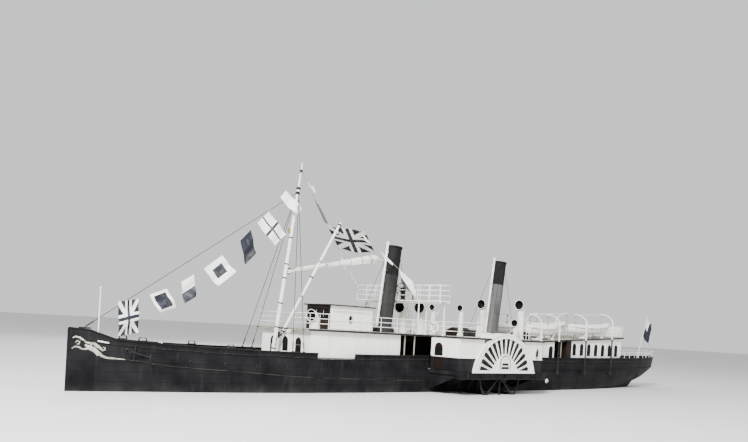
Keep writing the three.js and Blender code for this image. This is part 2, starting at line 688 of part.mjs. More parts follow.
function charthouse() {
  const floor = promenadeTop(CHART_FORE) + GAP;
  const under = CHART_TOP - 0.08;
  const [half, inner] = [CHART_HALF, CHART_HALF - WALL];
  const walls = cut(
    box(CHART_AFT, CHART_FORE, -half, half, floor, under),
    box(CHART_AFT + WALL, CHART_FORE - WALL, -inner, inner, floor - 1, under));
  const eaves = 0.12;
  const roof = box(
    CHART_AFT - eaves, CHART_FORE + eaves, -half - eaves, half + eaves, under - 0.01, CHART_TOP);
  const frontWindows = [-0.85, 0, 0.85].map(
    (y) => box(CHART_FORE - 0.3, CHART_FORE + 0.3, y - 0.28, y + 0.28, 5.3, 5.85));
  const oval = new THREE.Shape();
  oval.absellipse(CHART_OVAL, 5.2, 0.16, 0.26, 0, Math.PI * 2);
  const ovals = extruded(oval, 'y', -2, 2, 6);
  const doorway = box(CHART_AFT - 0.3, CHART_AFT + 0.3, -CHART_DOOR, CHART_DOOR, floor - 1, 6);
  return cut(walls.add(roof), ...frontWindows, ovals, doorway);
}
add('charthouse', charthouse(), 'white');

function chartDoor() {
  const leaf = box(
    CHART_AFT, CHART_AFT + DOOR_THICKNESS, DOOR_PLAY - CHART_DOOR, CHART_DOOR - GAP,
    promenadeTop(CHART_AFT) + 0.02, 5.985);
  return leaf.add(bar([CHART_AFT - 0.06, -0.24, 5.3], [CHART_AFT + 0.01, -0.24, 5.3], 0.03));
}
add('charthouse_door', chartDoor(), 'varnish');

// The open bridge across the ship, just aft of the fore funnel

const BRIDGE_FORE = 5.72;
const BRIDGE_AFT = 4.6;
const BRIDGE_HALF = 4.9;
const BRIDGE_FLOOR = 7.0;

// Posts and rails along points, on a base that may slope
function railing(points, base, heights, spacing, radius) {
  const parts = [];
  const rod = (from, to) => parts.push(bar(from, to, radius, radius, 4));
  points.slice(1).forEach(([x1, y1], i) => {
    const [x0, y0] = points[i];
    const bays = Math.max(1, Math.round(Math.hypot(x1 - x0, y1 - y0) / spacing));
    for (let k = 0; k <= bays; k += 1) {
      const [x, y] = [x0 + (x1 - x0) * k / bays, y0 + (y1 - y0) * k / bays];
      rod([x, y, base(x)], [x, y, base(x) + heights.at(-1)]);
    }
    for (const height of heights) rod([x0, y0, base(x0) + height], [x1, y1, base(x1) + height]);
  });
  return union(parts);
}

// columns: x, y of the bridge's posts
const BRIDGE_POSTS = [[4.9, 4.6], [4.9, 2.7], [5.75, 2.7]];
const LADDER_FOOT = 3.5;
const LADDER_HALF = 0.28;
const LADDER_STEPS = 5;

function bridgeLadder() {
  const foot = promenadeTop(LADDER_FOOT) + GAP;
  const head = BRIDGE_AFT + 0.1;
  const side = bar([LADDER_FOOT, LADDER_HALF, foot], [head, LADDER_HALF, BRIDGE_FLOOR - 0.02], 0.04, 0.04, 6);
  const parts = [bothSides(side)];
  for (let i = 1; i < LADDER_STEPS; i += 1) {
    const x = LADDER_FOOT + (head - LADDER_FOOT) * i / LADDER_STEPS;
    const z = foot + (BRIDGE_FLOOR - foot) * i / LADDER_STEPS;
    parts.push(box(x - 0.08, x + 0.08, -LADDER_HALF, LADDER_HALF, z - 0.02, z + 0.02));
  }
  return union(parts);
}

function bridge() {
  const half = BRIDGE_HALF;
  const floor = box(BRIDGE_AFT, BRIDGE_FORE, -half, half, BRIDGE_FLOOR - 0.1, BRIDGE_FLOOR);
  const [aft, fore, edge, opening] = [BRIDGE_AFT + 0.04, BRIDGE_FORE - 0.04, half - 0.04, 0.55];
  const corners = [
    [aft, opening], [aft, edge], [fore, edge], [fore, -edge], [aft, -edge], [aft, -opening]];
  const rails = railing(corners, () => BRIDGE_FLOOR - 0.05, [0.62, 1.2], 1.3, 0.025);
  const foot = promenadeTop(BRIDGE_AFT) + GAP;
  const posts = BRIDGE_POSTS.map(([x, y]) => bar([x, y, foot], [x, y, BRIDGE_FLOOR - 0.05], 0.06, 0.06, 8));
  const [[outerX, outerY], [innerX, innerY]] = BRIDGE_POSTS;
  const strut = bar([innerX, innerY, foot + 0.4], [outerX, outerY, BRIDGE_FLOOR - 0.1], 0.035);
  return union([floor, rails, bothSides(union([...posts, strut])), bridgeLadder(), helm()])
    .trimByPlane([0, 0, 1], foot);
}

function helm() {
  const x = 5.1;
  const hubZ = BRIDGE_FLOOR + 0.85;
  const pedestal = box(x - 0.2, x + 0.1, -0.16, 0.16, BRIDGE_FLOOR - 0.05, BRIDGE_FLOOR + 0.95);
  const wheel = new THREE.Shape();
  wheel.absarc(0, hubZ, 0.48, 0, Math.PI * 2);
  const inside = new THREE.Path();
  inside.absarc(0, hubZ, 0.41, 0, Math.PI * 2);
  wheel.holes.push(inside);
  const rim = extruded(wheel, 'x', x + 0.14, x + 0.19, 8);
  const reach = 0.6;
  const spokes = [
    bar([x + 0.165, -reach, hubZ], [x + 0.165, reach, hubZ], 0.02, 0.02, 4),
    bar([x + 0.165, 0, hubZ - reach], [x + 0.165, 0, hubZ + reach], 0.02, 0.02, 4),
  ];
  const hub = bar([x, 0, hubZ], [x + 0.22, 0, hubZ], 0.07, 0.07, 8);
  return union([pedestal, rim, ...spokes, hub]);
}
add('bridge', bridge(), 'white');

// Cowl ventilators, all trimmed the same way: their mouths face forward and a little to port

const COWL_TURN = 12;

function cowl(x, y, mouthZ, mouthR) {
  const foot = promenadeTop(x) - 0.1;
  const trunk = mouthR * 0.72;
  const lip = mouthR * 0.55;
  const elbow = [x, y, mouthZ];
  const column = bar([x, y, foot], elbow, trunk, trunk, 8);
  const hood = new THREE.SphereGeometry(mouthR * 0.98, 8, 5);
  hood.translate(...elbow);
  const bell = bar(elbow, [x + lip + mouthR * 0.45, y, mouthZ], mouthR * 0.86, mouthR * 1.08, 8);
  const hollow = bar([x + 0.1, y, mouthZ], [x + lip + mouthR, y, mouthZ], mouthR * 0.7, mouthR * 1.06, 8);
  const collar = bar([x, y, foot], [x, y, foot + 0.22], trunk + 0.06, trunk + 0.06, 8);
  const whole = cut(union([column, solid(hood), bell, collar]), hollow);
  const trimmed = whole.translate([-x, -y, 0]).rotate([0, 0, COWL_TURN]).translate([x, y, 0]);
  return onPromenade(trimmed);
}

// columns: name, x, y, height of the mouth's middle, radius of the mouth
const COWLS = [
  ['cowl_large_fore', 3.8, 1.15, 6.5, 0.46],
  ['cowl_small_fore', -0.2, 1.62, 6.7, 0.26],
  ['cowl_large_aft', -7.22, 2.2, 7.38, 0.41],
];
for (const [name, x, y, z, r] of COWLS) {
  add(`${name}_port`, cowl(x, y, z, r), 'white');
  add(`${name}_starboard`, cowl(x, -y, z, r), 'white');
}
add('cowl_charthouse', cowl(15.3, 2.35, 5.3, 0.4), 'white');
add('cowl_low_aft', cowl(-5.7, 2.95, 5.75, 0.3), 'white');

// Mast, derrick and the boom with its furled sail

const MAST_FOOT = 17.15;
const MAST_TILT = 6.7;
const HOUNDS_LENGTH = 12.6;
const MAST_LENGTH = 14.35;

function onMast(along) {
  const tilt = MAST_TILT * Math.PI / 180;
  return [MAST_FOOT - along * Math.sin(tilt), 0, deckTop(MAST_FOOT) + along * Math.cos(tilt)];
}

const TOPMAST_HEEL = HOUNDS_LENGTH - 0.3;
const poleRadius = (along) => 0.16 - 0.05 * along / HOUNDS_LENGTH;
const topmastRadius = (along) => 0.07 - 0.0122 * (along - TOPMAST_HEEL);

function mast() {
  const pole = bar(onMast(GAP), onMast(HOUNDS_LENGTH), poleRadius(0), poleRadius(HOUNDS_LENGTH), 12);
  const topmast = bar(
    onMast(TOPMAST_HEEL), onMast(MAST_LENGTH), topmastRadius(TOPMAST_HEEL), topmastRadius(MAST_LENGTH), 10);
  const cap = bar(onMast(HOUNDS_LENGTH - 0.12), onMast(HOUNDS_LENGTH + 0.05), 0.16, 0.16, 10);
  const truck = bar(onMast(MAST_LENGTH - 0.02), onMast(MAST_LENGTH + 0.08), 0.09, 0.09, 8);
  const partners = bar(onMast(GAP), onMast(0.16), 0.3, 0.24, 12);
  return union([pole, topmast, cap, truck, partners])
    .trimByPlane([0, 0, 1], deckTop(MAST_FOOT) + 0.0052);
}

// Joint heights up the mast from its heel, then the spars' lengths and angles
const DERRICK_HEEL = 2.05;
const DERRICK_LENGTH = 9.3;
const DERRICK_RISE = 64;
const DERRICK_SWUNG = 15;
const SAIL_HEIGHT = 6.6;
const SAIL_LENGTH = 8.75;
const SAIL_RISE = 11;

function spun(part, pivot, rise, swing) {
  const [x, y, z] = pivot;
  return part.rotate([0, rise, 0]).rotate([0, 0, swing]).translate([x, y, z]);
}

// A bracket has two arms on the mast and an upright pin, and an eye swings on it between them
const PIN_R = 0.035;
const EYE_HALF = 0.14;

function pinBehindMast(along, reach) {
  const [x, y, z] = onMast(along);
  return [x - reach, y, z];
}
const derrickPin = pinBehindMast(DERRICK_HEEL, 0.27);
const sailPin = pinBehindMast(SAIL_HEIGHT, 0.34);

function bracket([x, , z]) {
  const arms = [z - EYE_HALF - 0.06, z + EYE_HALF].map(
    (low) => box(x - 0.08, x + 0.3, -0.08, 0.08, low, low + 0.06));
  return union([...arms, bar([x, 0, z - EYE_HALF - 0.03], [x, 0, z + EYE_HALF + 0.03], PIN_R, PIN_R, 10)]);
}

function eye(radius) {
  const half = EYE_HALF - GAP;
  return bar([0, 0, -half], [0, 0, half], radius, radius, 10);
}

function pinBore([x, y, z]) {
  const radius = (PIN_R + GAP) / Math.cos(Math.PI / 10);
  return bar([x, y, z - 0.3], [x, y, z + 0.3], radius, radius, 10);
}

add('mast', union([mast(), bracket(derrickPin), bracket(sailPin)]), 'varnish');

const TONGUE_HALF = 0.045;
const LUFF_REACH = 0.16;

function gooseneck() {
  const tongue = box(-LUFF_REACH - 0.06, -0.06, GAP - TONGUE_HALF, TONGUE_HALF - GAP, -0.07, 0.07);
  const whole = cut(eye(0.075).add(tongue), pinBore([0, 0, 0]));
  return whole.rotate([0, 0, -DERRICK_SWUNG]).translate(derrickPin);
}
add('derrick_gooseneck', gooseneck(), 'iron');

function derrick() {
  const swing = -DERRICK_SWUNG;
  const spar = bar([-0.2, 0, 0], [-DERRICK_LENGTH, 0, 0], 0.11, 0.085, 12);
  const cheeks = bothSides(box(-0.3, 0.05, TONGUE_HALF, TONGUE_HALF + 0.04, -0.05, 0.05));
  const cap = bar([-DERRICK_LENGTH + 0.25, 0, 0], [-DERRICK_LENGTH + 0.1, 0, 0], 0.13, 0.13, 10);
  const [x, y, z] = derrickPin;
  const a = swing * Math.PI / 180;
  const pivot = [x - LUFF_REACH * Math.cos(a), y - LUFF_REACH * Math.sin(a), z];
  return spun(union([spar, cheeks, cap]), pivot, DERRICK_RISE, swing);
}
add('derrick', derrick(), 'varnish');

// columns: radius of the furled sail, distance out along its boom
const FURLED_SAIL = [
  [0, 0.5], [0.08, 0.55], [0.14, 2.4], [0.22, 5], [0.33, 7.4], [0.33, 8], [0.22, 8.3], [0, 8.4],
];

function sailBoom() {
  const spar = bar([-0.06, 0, 0], [-SAIL_LENGTH, 0, 0], 0.055, 0.055, 8);
  const sail = lathe(FURLED_SAIL, 12).rotate([0, -90, 0]).translate([0, 0, 0.12]);
  const shaped = spun(union([spar, sail]), [0, 0, 0], SAIL_RISE, 0);
  return cut(eye(0.085).add(shaped).translate(sailPin), pinBore(sailPin));
}
add('sail_boom', sailBoom(), 'cloth');

// Standing rigging: the forestay and two shrouds a side, on one collar

const COLLAR_LOW = HOUNDS_LENGTH - 0.45;
const COLLAR_HIGH = HOUNDS_LENGTH - 0.35;
const STEM_CLEAT = 30.6;
const SHROUD_FEET = [17.6, 16.75];
const WIRE = 0.018;

function rigging() {
  const bore = poleRadius(COLLAR_LOW) + GAP;
  const collar = cut(
    bar(onMast(COLLAR_LOW), onMast(COLLAR_HIGH), 0.17, 0.17, 12),
    bar(onMast(COLLAR_LOW - 0.01), onMast(COLLAR_HIGH + 0.01), bore, bore, 12));
  const [x, , z] = onMast(HOUNDS_LENGTH - 0.4);
  const rail = railAt(STEM_CLEAT);
  const stay = bar([x + 0.14, 0, z], [STEM_CLEAT - 0.15, 0, rail + 0.06], WIRE, WIRE, 4);
  const cleat = box(STEM_CLEAT - 0.4, STEM_CLEAT, -0.55, 0.55, rail + 0.0008, rail + 0.1);
  const shrouds = SHROUD_FEET.map((foot) => {
    const top = railAt(foot);
    const y = sideAt(foot, top) - 0.02;
    const wire = bar([x, 0.13, z], [foot, y, top + 0.03], WIRE, WIRE, 4);
    return wire.add(box(foot - 0.07, foot + 0.07, y - 0.07, y + 0.07, top + 0.0018, top + 0.3));
  });
  return union([collar, stay, cleat, bothSides(union(shrouds))]);
}
add('standing_rigging', rigging(), 'iron');

// Dressing lines with their flags

const JACKSTAFF = [29.7, 0.3];
const LINE_TOP = onMast(HOUNDS_LENGTH + 1.3).map((value, i) => value + (i === 1 ? 0.06 : 0));
const FORE_LINE_END = [...JACKSTAFF, 5.2];
const AFT_LINE_END = [BRIDGE_FORE - 0.04, 2.2, BRIDGE_FLOOR + 1.2];
const WING_LINE_END = [BRIDGE_FORE - 0.04, -4.8, BRIDGE_FLOOR + 1.2];
const SAG = 2.3;
const AFT_SAG = 0.25;
const LINE_CHORDS = 6;
const FLAG_HALF = 0.012;

// columns: share of the line where the hoist starts and ends, how far the fly runs aft,
// to port and down
const FORE_FLAGS = [
  [0.09, 0.12, 1.3, 0.3, 1.1],
  [0.186, 0.245, 1.4, 0.3, 1.4],
  [0.28, 0.335, 0.4, 0.2, 1.6],
  [0.43, 0.52, 1, 0.2, 1.05],
  [0.57, 0.63, 0.2, 0.1, 1.4],
  [0.7, 0.78, 0.7, 0.15, 1.1],
  [0.83, 0.92, 0.1, 0.1, 2.1],
];
const AFT_FLAGS = [
  [0.5, 0.54, 0.3, 0.2, 0.5],
  [0.66, 0.74, 0.4, 0.2, 0.4],
  [0.84, 0.97, 0.3, 0.2, 1.2],
];
const WING_FLAGS = [
  [0.08, 0.12, 0.5, 0.1, 0.3],
  [0.2, 0.34, 0.3, 0.2, 0.6],
  [0.42, 0.61, 2.4, 1.7, 0.25],
  [0.64, 0.74, 0.2, 0.1, 0.8],
  [0.83, 0.93, 0.3, 0.1, 0.7],
];

function linePoint(from, to, sag, share) {
  const drop = 4 * sag * share * (1 - share);
  return from.map((value, i) => value + (to[i] - value) * share - (i === 2 ? drop : 0));
}

// A point on the line's chords, which are what the flags are bent to
function onLine(from, to, sag, share) {
  const chord = Math.min(Math.floor(share * LINE_CHORDS), LINE_CHORDS - 1);
  const part = share * LINE_CHORDS - chord;
  const [a, b] = [chord, chord + 1].map((i) => linePoint(from, to, sag, i / LINE_CHORDS));
  return a.map((value, i) => value + (b[i] - value) * part);
}

function flagPlate(from, to, sag, row) {
  const [start, end, run, drift, fall] = row;
  return loft([start, end].map((share) => {
    const [x, y, z] = onLine(from, to, sag, share);
    return flagEdge([x, y, z], [x - run, y + drift, z - fall]);
  }));
}

// The cross-section of a thin flag from its hoist to its fly
function flagEdge(hoist, fly) {
  const sides = [[hoist, -1], [hoist, 1], [fly, 1], [fly, -1]];
  return sides.map(([[x, y, z], side]) => [x, y + side * FLAG_HALF, z]);
}

function dressingLine(from, to, sag, flags) {
  const points = [];
  for (let i = 0; i <= LINE_CHORDS; i += 1) points.push(linePoint(from, to, sag, i / LINE_CHORDS));
  return union([bars(points, 0.02, 4), ...flags.map((row) => flagPlate(from, to, sag, row))]);
}

function dressing() {
  const [low, high] = [HOUNDS_LENGTH + 1, HOUNDS_LENGTH + 1.5];
  const bore = topmastRadius(low) + GAP;
  const clear = bar(onMast(low - 0.01), onMast(MAST_LENGTH + 1), bore, bore, 10);
  const collar = bar(onMast(low), onMast(high), 0.12, 0.12, 8);
  const fore = dressingLine(LINE_TOP, FORE_LINE_END, SAG, FORE_FLAGS);
  const aft = dressingLine(LINE_TOP, AFT_LINE_END, AFT_SAG, AFT_FLAGS);
  const wing = dressingLine(LINE_TOP, WING_LINE_END, AFT_SAG, WING_FLAGS);
  const foot = deckTop(JACKSTAFF[0]) + 0.0047;
  const jackstaff = bar([...JACKSTAFF, foot], [...JACKSTAFF, 6.2], 0.045, 0.03, 8);
  return cut(union([collar, fore, aft, wing, jackstaff]), clear);
}
add('dressing_lines', dressing(), 'cloth');

// Rails

function promenadeRail() {
  const y = (x) => promenadeHalf(x) - 0.06;
  const edge = SPONSON_X - 0.08;
  const runs = {
    fore: [[14.4, 0], [14.4, 1.7], [16.32, 1.7], [16.32, 3.14], [edge, 3.14], [edge, 6.6], [2.9, 6.6]],
    middle: [[-2.9, 6.6], [-4.65, 6.6], [-4.65, y(-4.65)], [-5.4, y(-5.4)]],
    aft: [[-20.2, y(-20.2)], [-22.6, y(-22.6)], [-22.6, 0]],
  };
  const lift = (x) => promenadeTop(x) - 0.05;
  return Object.entries(runs).map(
    ([name, run]) => [name, onPromenade(railing(run, lift, [0.56, 1.07], 2, 0.022))]);
}
for (const [name, run] of promenadeRail()) {
  if (name === 'middle') pair('promenade_rail_middle', run, 'white');
  else add(`promenade_rail_${name}`, bothSides(run), 'white');
}

function sternRail() {
  const xs = [-22.9, -25.1, -27.2, -29.2, -31.1, -32.1];
  const port = xs.map((x) => [x, sideAt(x, railAt(x)) - 0.03]);
  const lift = (x) => railAt(x) + 0.0014;
  return railing([...port, [-32.55, 0]], lift, [0.58], 2.4, 0.022);
}
add('stern_rail', bothSides(sternRail()), 'white');

// Lifeboats on chocks, and the davits in pairs with the span between their heads

// columns: name, middle x, half-length, x of each davit
const BOATS = [
  ['fore', -9.95, 2.25, [-8.3, -10.95]],
  ['aft', -17.2, 3.25, [-15.25, -19.9]],
];
const BOAT_Y = 2.5;

function lifeboat(middle, half) {
  const keel = promenadeTop(middle) + 0.38;
  const slope = (promenadeTop(middle + 2) - promenadeTop(middle - 2)) / 4;
  const sections = [];
  for (let i = 0; i <= 10; i += 1) {
    const share = 1 - i / 5;
    const beam = (0.32 + 0.2 * half) * (1 - Math.abs(share) ** 2.3) + 0.03;
    const rocker = 0.4 * Math.abs(share) ** 3;
    const sheer = 0.2 * share * share;
    const x = share * half;
    sections.push([[x, 0, rocker], [x, beam * 0.72, 0.2 + rocker * 0.8], [x, beam, 0.52 + sheer],
      [x, beam, 0.78 + sheer], [x, 0, 0.93 + sheer], [x, -beam, 0.78 + sheer], [x, -beam, 0.52 + sheer],
      [x, -beam * 0.72, 0.2 + rocker * 0.8]]);
  }
  const tilt = Math.atan(slope) * 180 / Math.PI;
  const hull = loft(sections).rotate([0, -tilt, 0]).translate([middle, BOAT_Y, keel]);
  const chocks = [-0.44 * half, 0.44 * half].map((dx) => box(
    middle + dx - 0.07, middle + dx + 0.07, BOAT_Y - 0.45, BOAT_Y + 0.45, keel - 0.7, keel + 0.15));
  return onPromenade(union([hull, ...chocks]));
}

const DAVIT_REACH = 1.3;

// The davits step in shoes on the hull's side
function davitFoot(x) {
  return [x, sideAt(x, railAt(x)) + 0.13, 1.5];
}

function davitHead(x) {
  const [, y] = davitFoot(x);
  return [x, y - DAVIT_REACH, 6.65 + promenadeTop(x) - promenadeTop(-9)];
}

function davit(x) {
  const [, y, foot] = davitFoot(x);
  const [, , top] = davitHead(x);
  const bend = top - 0.95;
  const points = [[x, y, foot], [x, y, bend]];
  for (let i = 1; i <= 3; i += 1) {
    const angle = i / 3 * Math.PI / 2;
    points.push([x, y - DAVIT_REACH * (1 - Math.cos(angle)), bend + (top - bend) * Math.sin(angle)]);
  }
  const arm = bars(points, 0.055, 5);
  const side = sideAt(x + 0.08, foot + 0.12) - (x < -12 ? 0.0012 : -0.0012);
  return arm.add(box(x - 0.08, x + 0.08, side, y + 0.06, foot - 0.1, foot + 0.12));
}

for (const [name, middle, half, davitXs] of BOATS) {
  pair(`lifeboat_${name}`, lifeboat(middle, half), 'white');
  const [fore, aft] = davitXs;
  const span = bar(davitHead(fore), davitHead(aft), 0.025, 0.025, 4);
  pair(`davits_${name}`, union([davit(fore), davit(aft), span]), 'white');
}

// Ensign on its raked staff, and the windlass on the fore deck

const STAFF_FOOT = [-29.9, 0, deckTop(-29.9) + GAP];
const STAFF_TOP = [-31.9, 0, 7.5];

function ensign() {
  const staff = bar(STAFF_FOOT, STAFF_TOP, 0.05, 0.03, 8)
    .trimByPlane([0, 0, 1], STAFF_FOOT[2] + 0.0016);
  const ball = bar([STAFF_TOP[0], 0, 7.45], [STAFF_TOP[0] - 0.02, 0, 7.57], 0.07, 0.07, 8);
  const at = (share) => STAFF_FOOT.map((value, i) => value + (STAFF_TOP[i] - value) * share);
  const [low, high] = [at(0.62), at(0.97)];
  const flag = loft([high, low].map((hoist) => {
    const [x, y, z] = hoist;
    return flagEdge(hoist, [x - 1.3, y, z - 1]);
  }));
  return union([staff, ball, flag]);
}
add('ensign', ensign(), 'dark');

function windlass() {
  const z = deckTop(26.5) + GAP;
  const frames = [-0.75, 0.55].map((y) => prism(
    [[26.1, z], [27.1, z], [26.8, z + 0.85], [26.4, z + 0.85]], 'y', y, y + 0.2));
  const barrel = bar([26.6, -1.15, z + 0.55], [26.6, 1.15, z + 0.55], 0.24, 0.24, 10);
  return union([...frames, barrel]).trimByPlane([0, 0, 1], deckTop(27.1) + GAP);
}
add('windlass', windlass(), 'iron');

export default ship;
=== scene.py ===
import json
import math

import bpy
from mathutils import Matrix, Vector


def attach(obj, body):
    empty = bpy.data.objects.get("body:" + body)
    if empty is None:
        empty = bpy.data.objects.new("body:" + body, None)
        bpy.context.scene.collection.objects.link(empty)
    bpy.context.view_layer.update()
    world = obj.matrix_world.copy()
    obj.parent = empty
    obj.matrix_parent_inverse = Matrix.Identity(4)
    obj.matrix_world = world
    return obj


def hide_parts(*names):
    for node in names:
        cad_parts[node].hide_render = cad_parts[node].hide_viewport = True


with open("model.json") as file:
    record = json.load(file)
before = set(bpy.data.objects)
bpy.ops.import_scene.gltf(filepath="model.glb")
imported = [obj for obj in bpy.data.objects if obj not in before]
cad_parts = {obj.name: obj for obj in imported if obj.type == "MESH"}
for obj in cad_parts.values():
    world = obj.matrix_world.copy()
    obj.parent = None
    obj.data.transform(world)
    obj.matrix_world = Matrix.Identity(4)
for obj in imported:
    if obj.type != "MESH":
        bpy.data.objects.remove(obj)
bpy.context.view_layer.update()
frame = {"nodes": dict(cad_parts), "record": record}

# The paddle steamer's finish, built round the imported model. Every size below is in metres of the
# full-size ship, and MODEL makes it the half-size model's: +X to the bow, +Y to port, +Z up from
# the water, X = 0 at the paddle shaft.

MODEL = 0.5
SHIP = "vessel"

# ---------------------------------------------------------------- the ship's lines
# columns: x, rail height, deck height, half-beam at the rail, level of the lower half-beam, lower half-beam

LINES = [
    (31.3, 3.35, 2.45, 0.1, 0, 0.06),
    (30.3, 3.27, 2.33, 0.55, 0, 0.26),
    (28.8, 3.15, 2.2, 1.1, 0, 0.6),
    (26.3, 3.0, 2.03, 1.8, 0, 1.15),
    (23.4, 2.88, 1.9, 2.4, 0, 1.8),
    (20.4, 2.8, 1.82, 2.9, 0, 2.4),
    (16.4, 2.74, 1.76, 3.3, 0, 2.95),
    (11.4, 2.72, 1.73, 3.53, 0, 3.3),
    (5.4, 2.78, 1.73, 3.6, 0, 3.45),
    (-4.6, 2.84, 1.75, 3.6, 0, 3.45),
    (-10.6, 2.9, 1.8, 3.56, 0.3, 3.4),
    (-16.6, 2.96, 1.88, 3.42, 0.7, 3.2),
    (-21.6, 3.02, 1.98, 3.14, 1.1, 2.86),
    (-25.1, 3.06, 2.06, 2.78, 1.3, 2.42),
    (-27.1, 3.09, 2.11, 2.5, 1.45, 2.1),
    (-29.2, 3.13, 2.17, 2.02, 1.65, 1.6),
    (-31.1, 3.18, 2.23, 1.38, 2, 1.08),
    (-32.2, 3.22, 2.27, 0.8, 2.25, 0.6),
    (-32.7, 3.24, 2.3, 0.35, 2.5, 0.25),
]
RAISED_BOW = 28.8

# columns: x, height of the promenade deck, its half-width
PROMENADE = [
    (16.4, 4.38, 3.2),
    (-9.3, 4.38, 3.35),
    (-13, 4.6, 3.24),
    (-17.6, 4.82, 3.1),
    (-22.7, 5.1, 2.9),
]


def along(table, column, x):
    """The table's value at x, on straight lines between its rows."""
    rows = sorted(table)
    x = min(max(x, rows[0][0]), rows[-1][0])
    for low, high in zip(rows, rows[1:]):
        if x <= high[0]:
            share = (x - low[0]) / (high[0] - low[0])
            return low[column] + share * (high[column] - low[column])
    return rows[-1][column]


def sheer_z(x):
    """The bulwark's height, without the raised bow's extra."""
    return along(LINES, 1, x)


def rail_z(x):
    return sheer_z(x) + (0.4 if x > RAISED_BOW else 0)


def deck_z(x):
    return along(LINES, 2, x)


def side_y(x, z):
    low, half_low = along(LINES, 4, x), along(LINES, 5, x)
    rise = (z - low) / (sheer_z(x) - low)
    return half_low + (along(LINES, 3, x) - half_low) * rise


def promenade_z(x):
    return along(PROMENADE, 1, x)


def promenade_y(x):
    return along(PROMENADE, 2, x)


# ---------------------------------------------------------------- hand tools


def only(*pieces):
    """Selects these pieces alone, the last one active."""
    bpy.ops.object.select_all(action="DESELECT")
    for piece in pieces:
        piece.select_set(True)
    bpy.context.view_layer.objects.active = pieces[-1]


def joined(name, pieces):
    """Names one piece, or joins a list of them under the name."""
    pieces = pieces if isinstance(pieces, list) else [pieces]
    only(*pieces)
    if len(pieces) > 1:
        bpy.ops.object.join()
    piece = bpy.context.object
    piece.name = piece.data.name = name
    return piece


def edited(piece, *steps):
    """Runs each step in edit mode with everything selected first."""
    only(piece)
    bpy.ops.object.mode_set(mode="EDIT")
    for step in steps:
        bpy.ops.mesh.select_all(action="SELECT")
        step()
    bpy.ops.object.mode_set(mode="OBJECT")
    return piece


def thickened(piece, thickness, offset=0):
    """Gives a thin skin its second face: on both sides of it, or with offset 1 or -1 on one."""
    only(piece)
    modifier = piece.modifiers.new("skin", "SOLIDIFY")
    modifier.thickness, modifier.offset = thickness, offset
    bpy.ops.object.modifier_apply(modifier=modifier.name)
    return piece


def settled(piece):
    only(piece)
    bpy.ops.object.transform_apply(location=True, rotation=True, scale=True)
    return piece


def moved(piece, matrix):
    piece.matrix_world = matrix @ piece.matrix_world
    return settled(piece)


def shape(name, points, faces, edges=()):
    mesh = bpy.data.meshes.new(name)
    mesh.from_pydata([tuple(p) for p in points], list(edges), list(faces))
    piece = bpy.data.objects.new(name, mesh)
    bpy.context.collection.objects.link(piece)
    return piece


def outward():
    bpy.ops.mesh.remove_doubles(threshold=0.0005)
    bpy.ops.mesh.normals_make_consistent(inside=False)


def block(x0, x1, y0, y1, z0, z1, bevel=0.01):
    """A squared timber or casting between two corners, its edges eased."""
    bpy.ops.object.select_all(action="DESELECT")
    centre = ((x0 + x1) / 2, (y0 + y1) / 2, (z0 + z1) / 2)
    bpy.ops.mesh.primitive_cube_add(size=1, location=centre, scale=(x1 - x0, y1 - y0, z1 - z0))
    piece = settled(bpy.context.object)
    if bevel:
        edited(piece, lambda: bpy.ops.mesh.bevel(offset=bevel, segments=1, affect="EDGES"))
    return piece


def rod(start, end, radius, end_radius=None, sides=12):
    """A round bar between two places; with a second radius it tapers."""
    start, end = Vector(start), Vector(end)
    bpy.ops.object.select_all(action="DESELECT")
    bpy.ops.mesh.primitive_cone_add(
        vertices=sides, radius1=radius, radius2=radius if end_radius is None else end_radius,
        depth=(end - start).length, location=(start + end) / 2)
    piece = bpy.context.object
    piece.rotation_mode = "QUATERNION"
    piece.rotation_quaternion = (end - start).to_track_quat("Z", "Y")
    return settled(piece)


def circle(count, radius=1.0, turns=1.0, extra=0):
    """Points on a circle or on part of one; extra 1 gives the last point too."""
    steps = [math.tau * turns * k / count for k in range(count + extra)]
    return [(radius * math.cos(a), radius * math.sin(a)) for a in steps]


def tubes(name, runs, radius, sides=8, closed=False):
    """Round bars or wires along runs of points. A point may carry its own radius as a fourth number."""
    curve = bpy.data.curves.new(name, "CURVE")
    curve.dimensions = "3D"
    for run in runs:
        spline = curve.splines.new("POLY")
        spline.points.add(len(run) - 1)
        spline.use_cyclic_u = closed
        for point, place in zip(spline.points, run):
            point.co = (*place[:3], 1)
            point.radius = place[3] / radius if len(place) > 3 else 1
    curve.bevel_depth = radius
    curve.bevel_resolution = sides // 2 - 2
    curve.use_fill_caps = True
    piece = bpy.data.objects.new(name, curve)
    bpy.context.collection.objects.link(piece)
    only(piece)
    bpy.ops.object.convert(target="MESH")
    return bpy.context.object


def turned(name, profile, place=(0, 0, 0), towards=(0, 0, 1), steps=32):
    """A profile of (radius, height) spun round, its axis pointed towards a direction."""
    points = [(r, 0, z) for r, z in profile]
    piece = shape(name, points, [], [(i, i + 1) for i in range(len(points) - 1)])
    edited(
        piece,
        lambda: bpy.ops.mesh.spin(steps=steps, angle=math.tau, center=(0, 0, 0), axis=(0, 0, 1)),
        outward)
    turn = Vector(towards).to_track_quat("Z", "Y").to_matrix().to_4x4()
    return moved(piece, Matrix.Translation(place) @ turn)


def ball(radius, place, steps=14):
    return turned("ball", [(s, -c) for c, s in circle(8, radius, 0.5, 1)], place, steps=steps)


def prism(name, outline, ends):
    """A plate between two outlines: each end says where a point (a, b) of the outline lies."""
    count = len(outline)
    faces = [tuple(range(count)), tuple(range(2 * count - 1, count - 1, -1))]
    faces += [(i, (i + 1) % count, count + (i + 1) % count, count + i) for i in range(count)]
    return shape(name, [end(a, b) for end in ends for a, b in outline], faces)


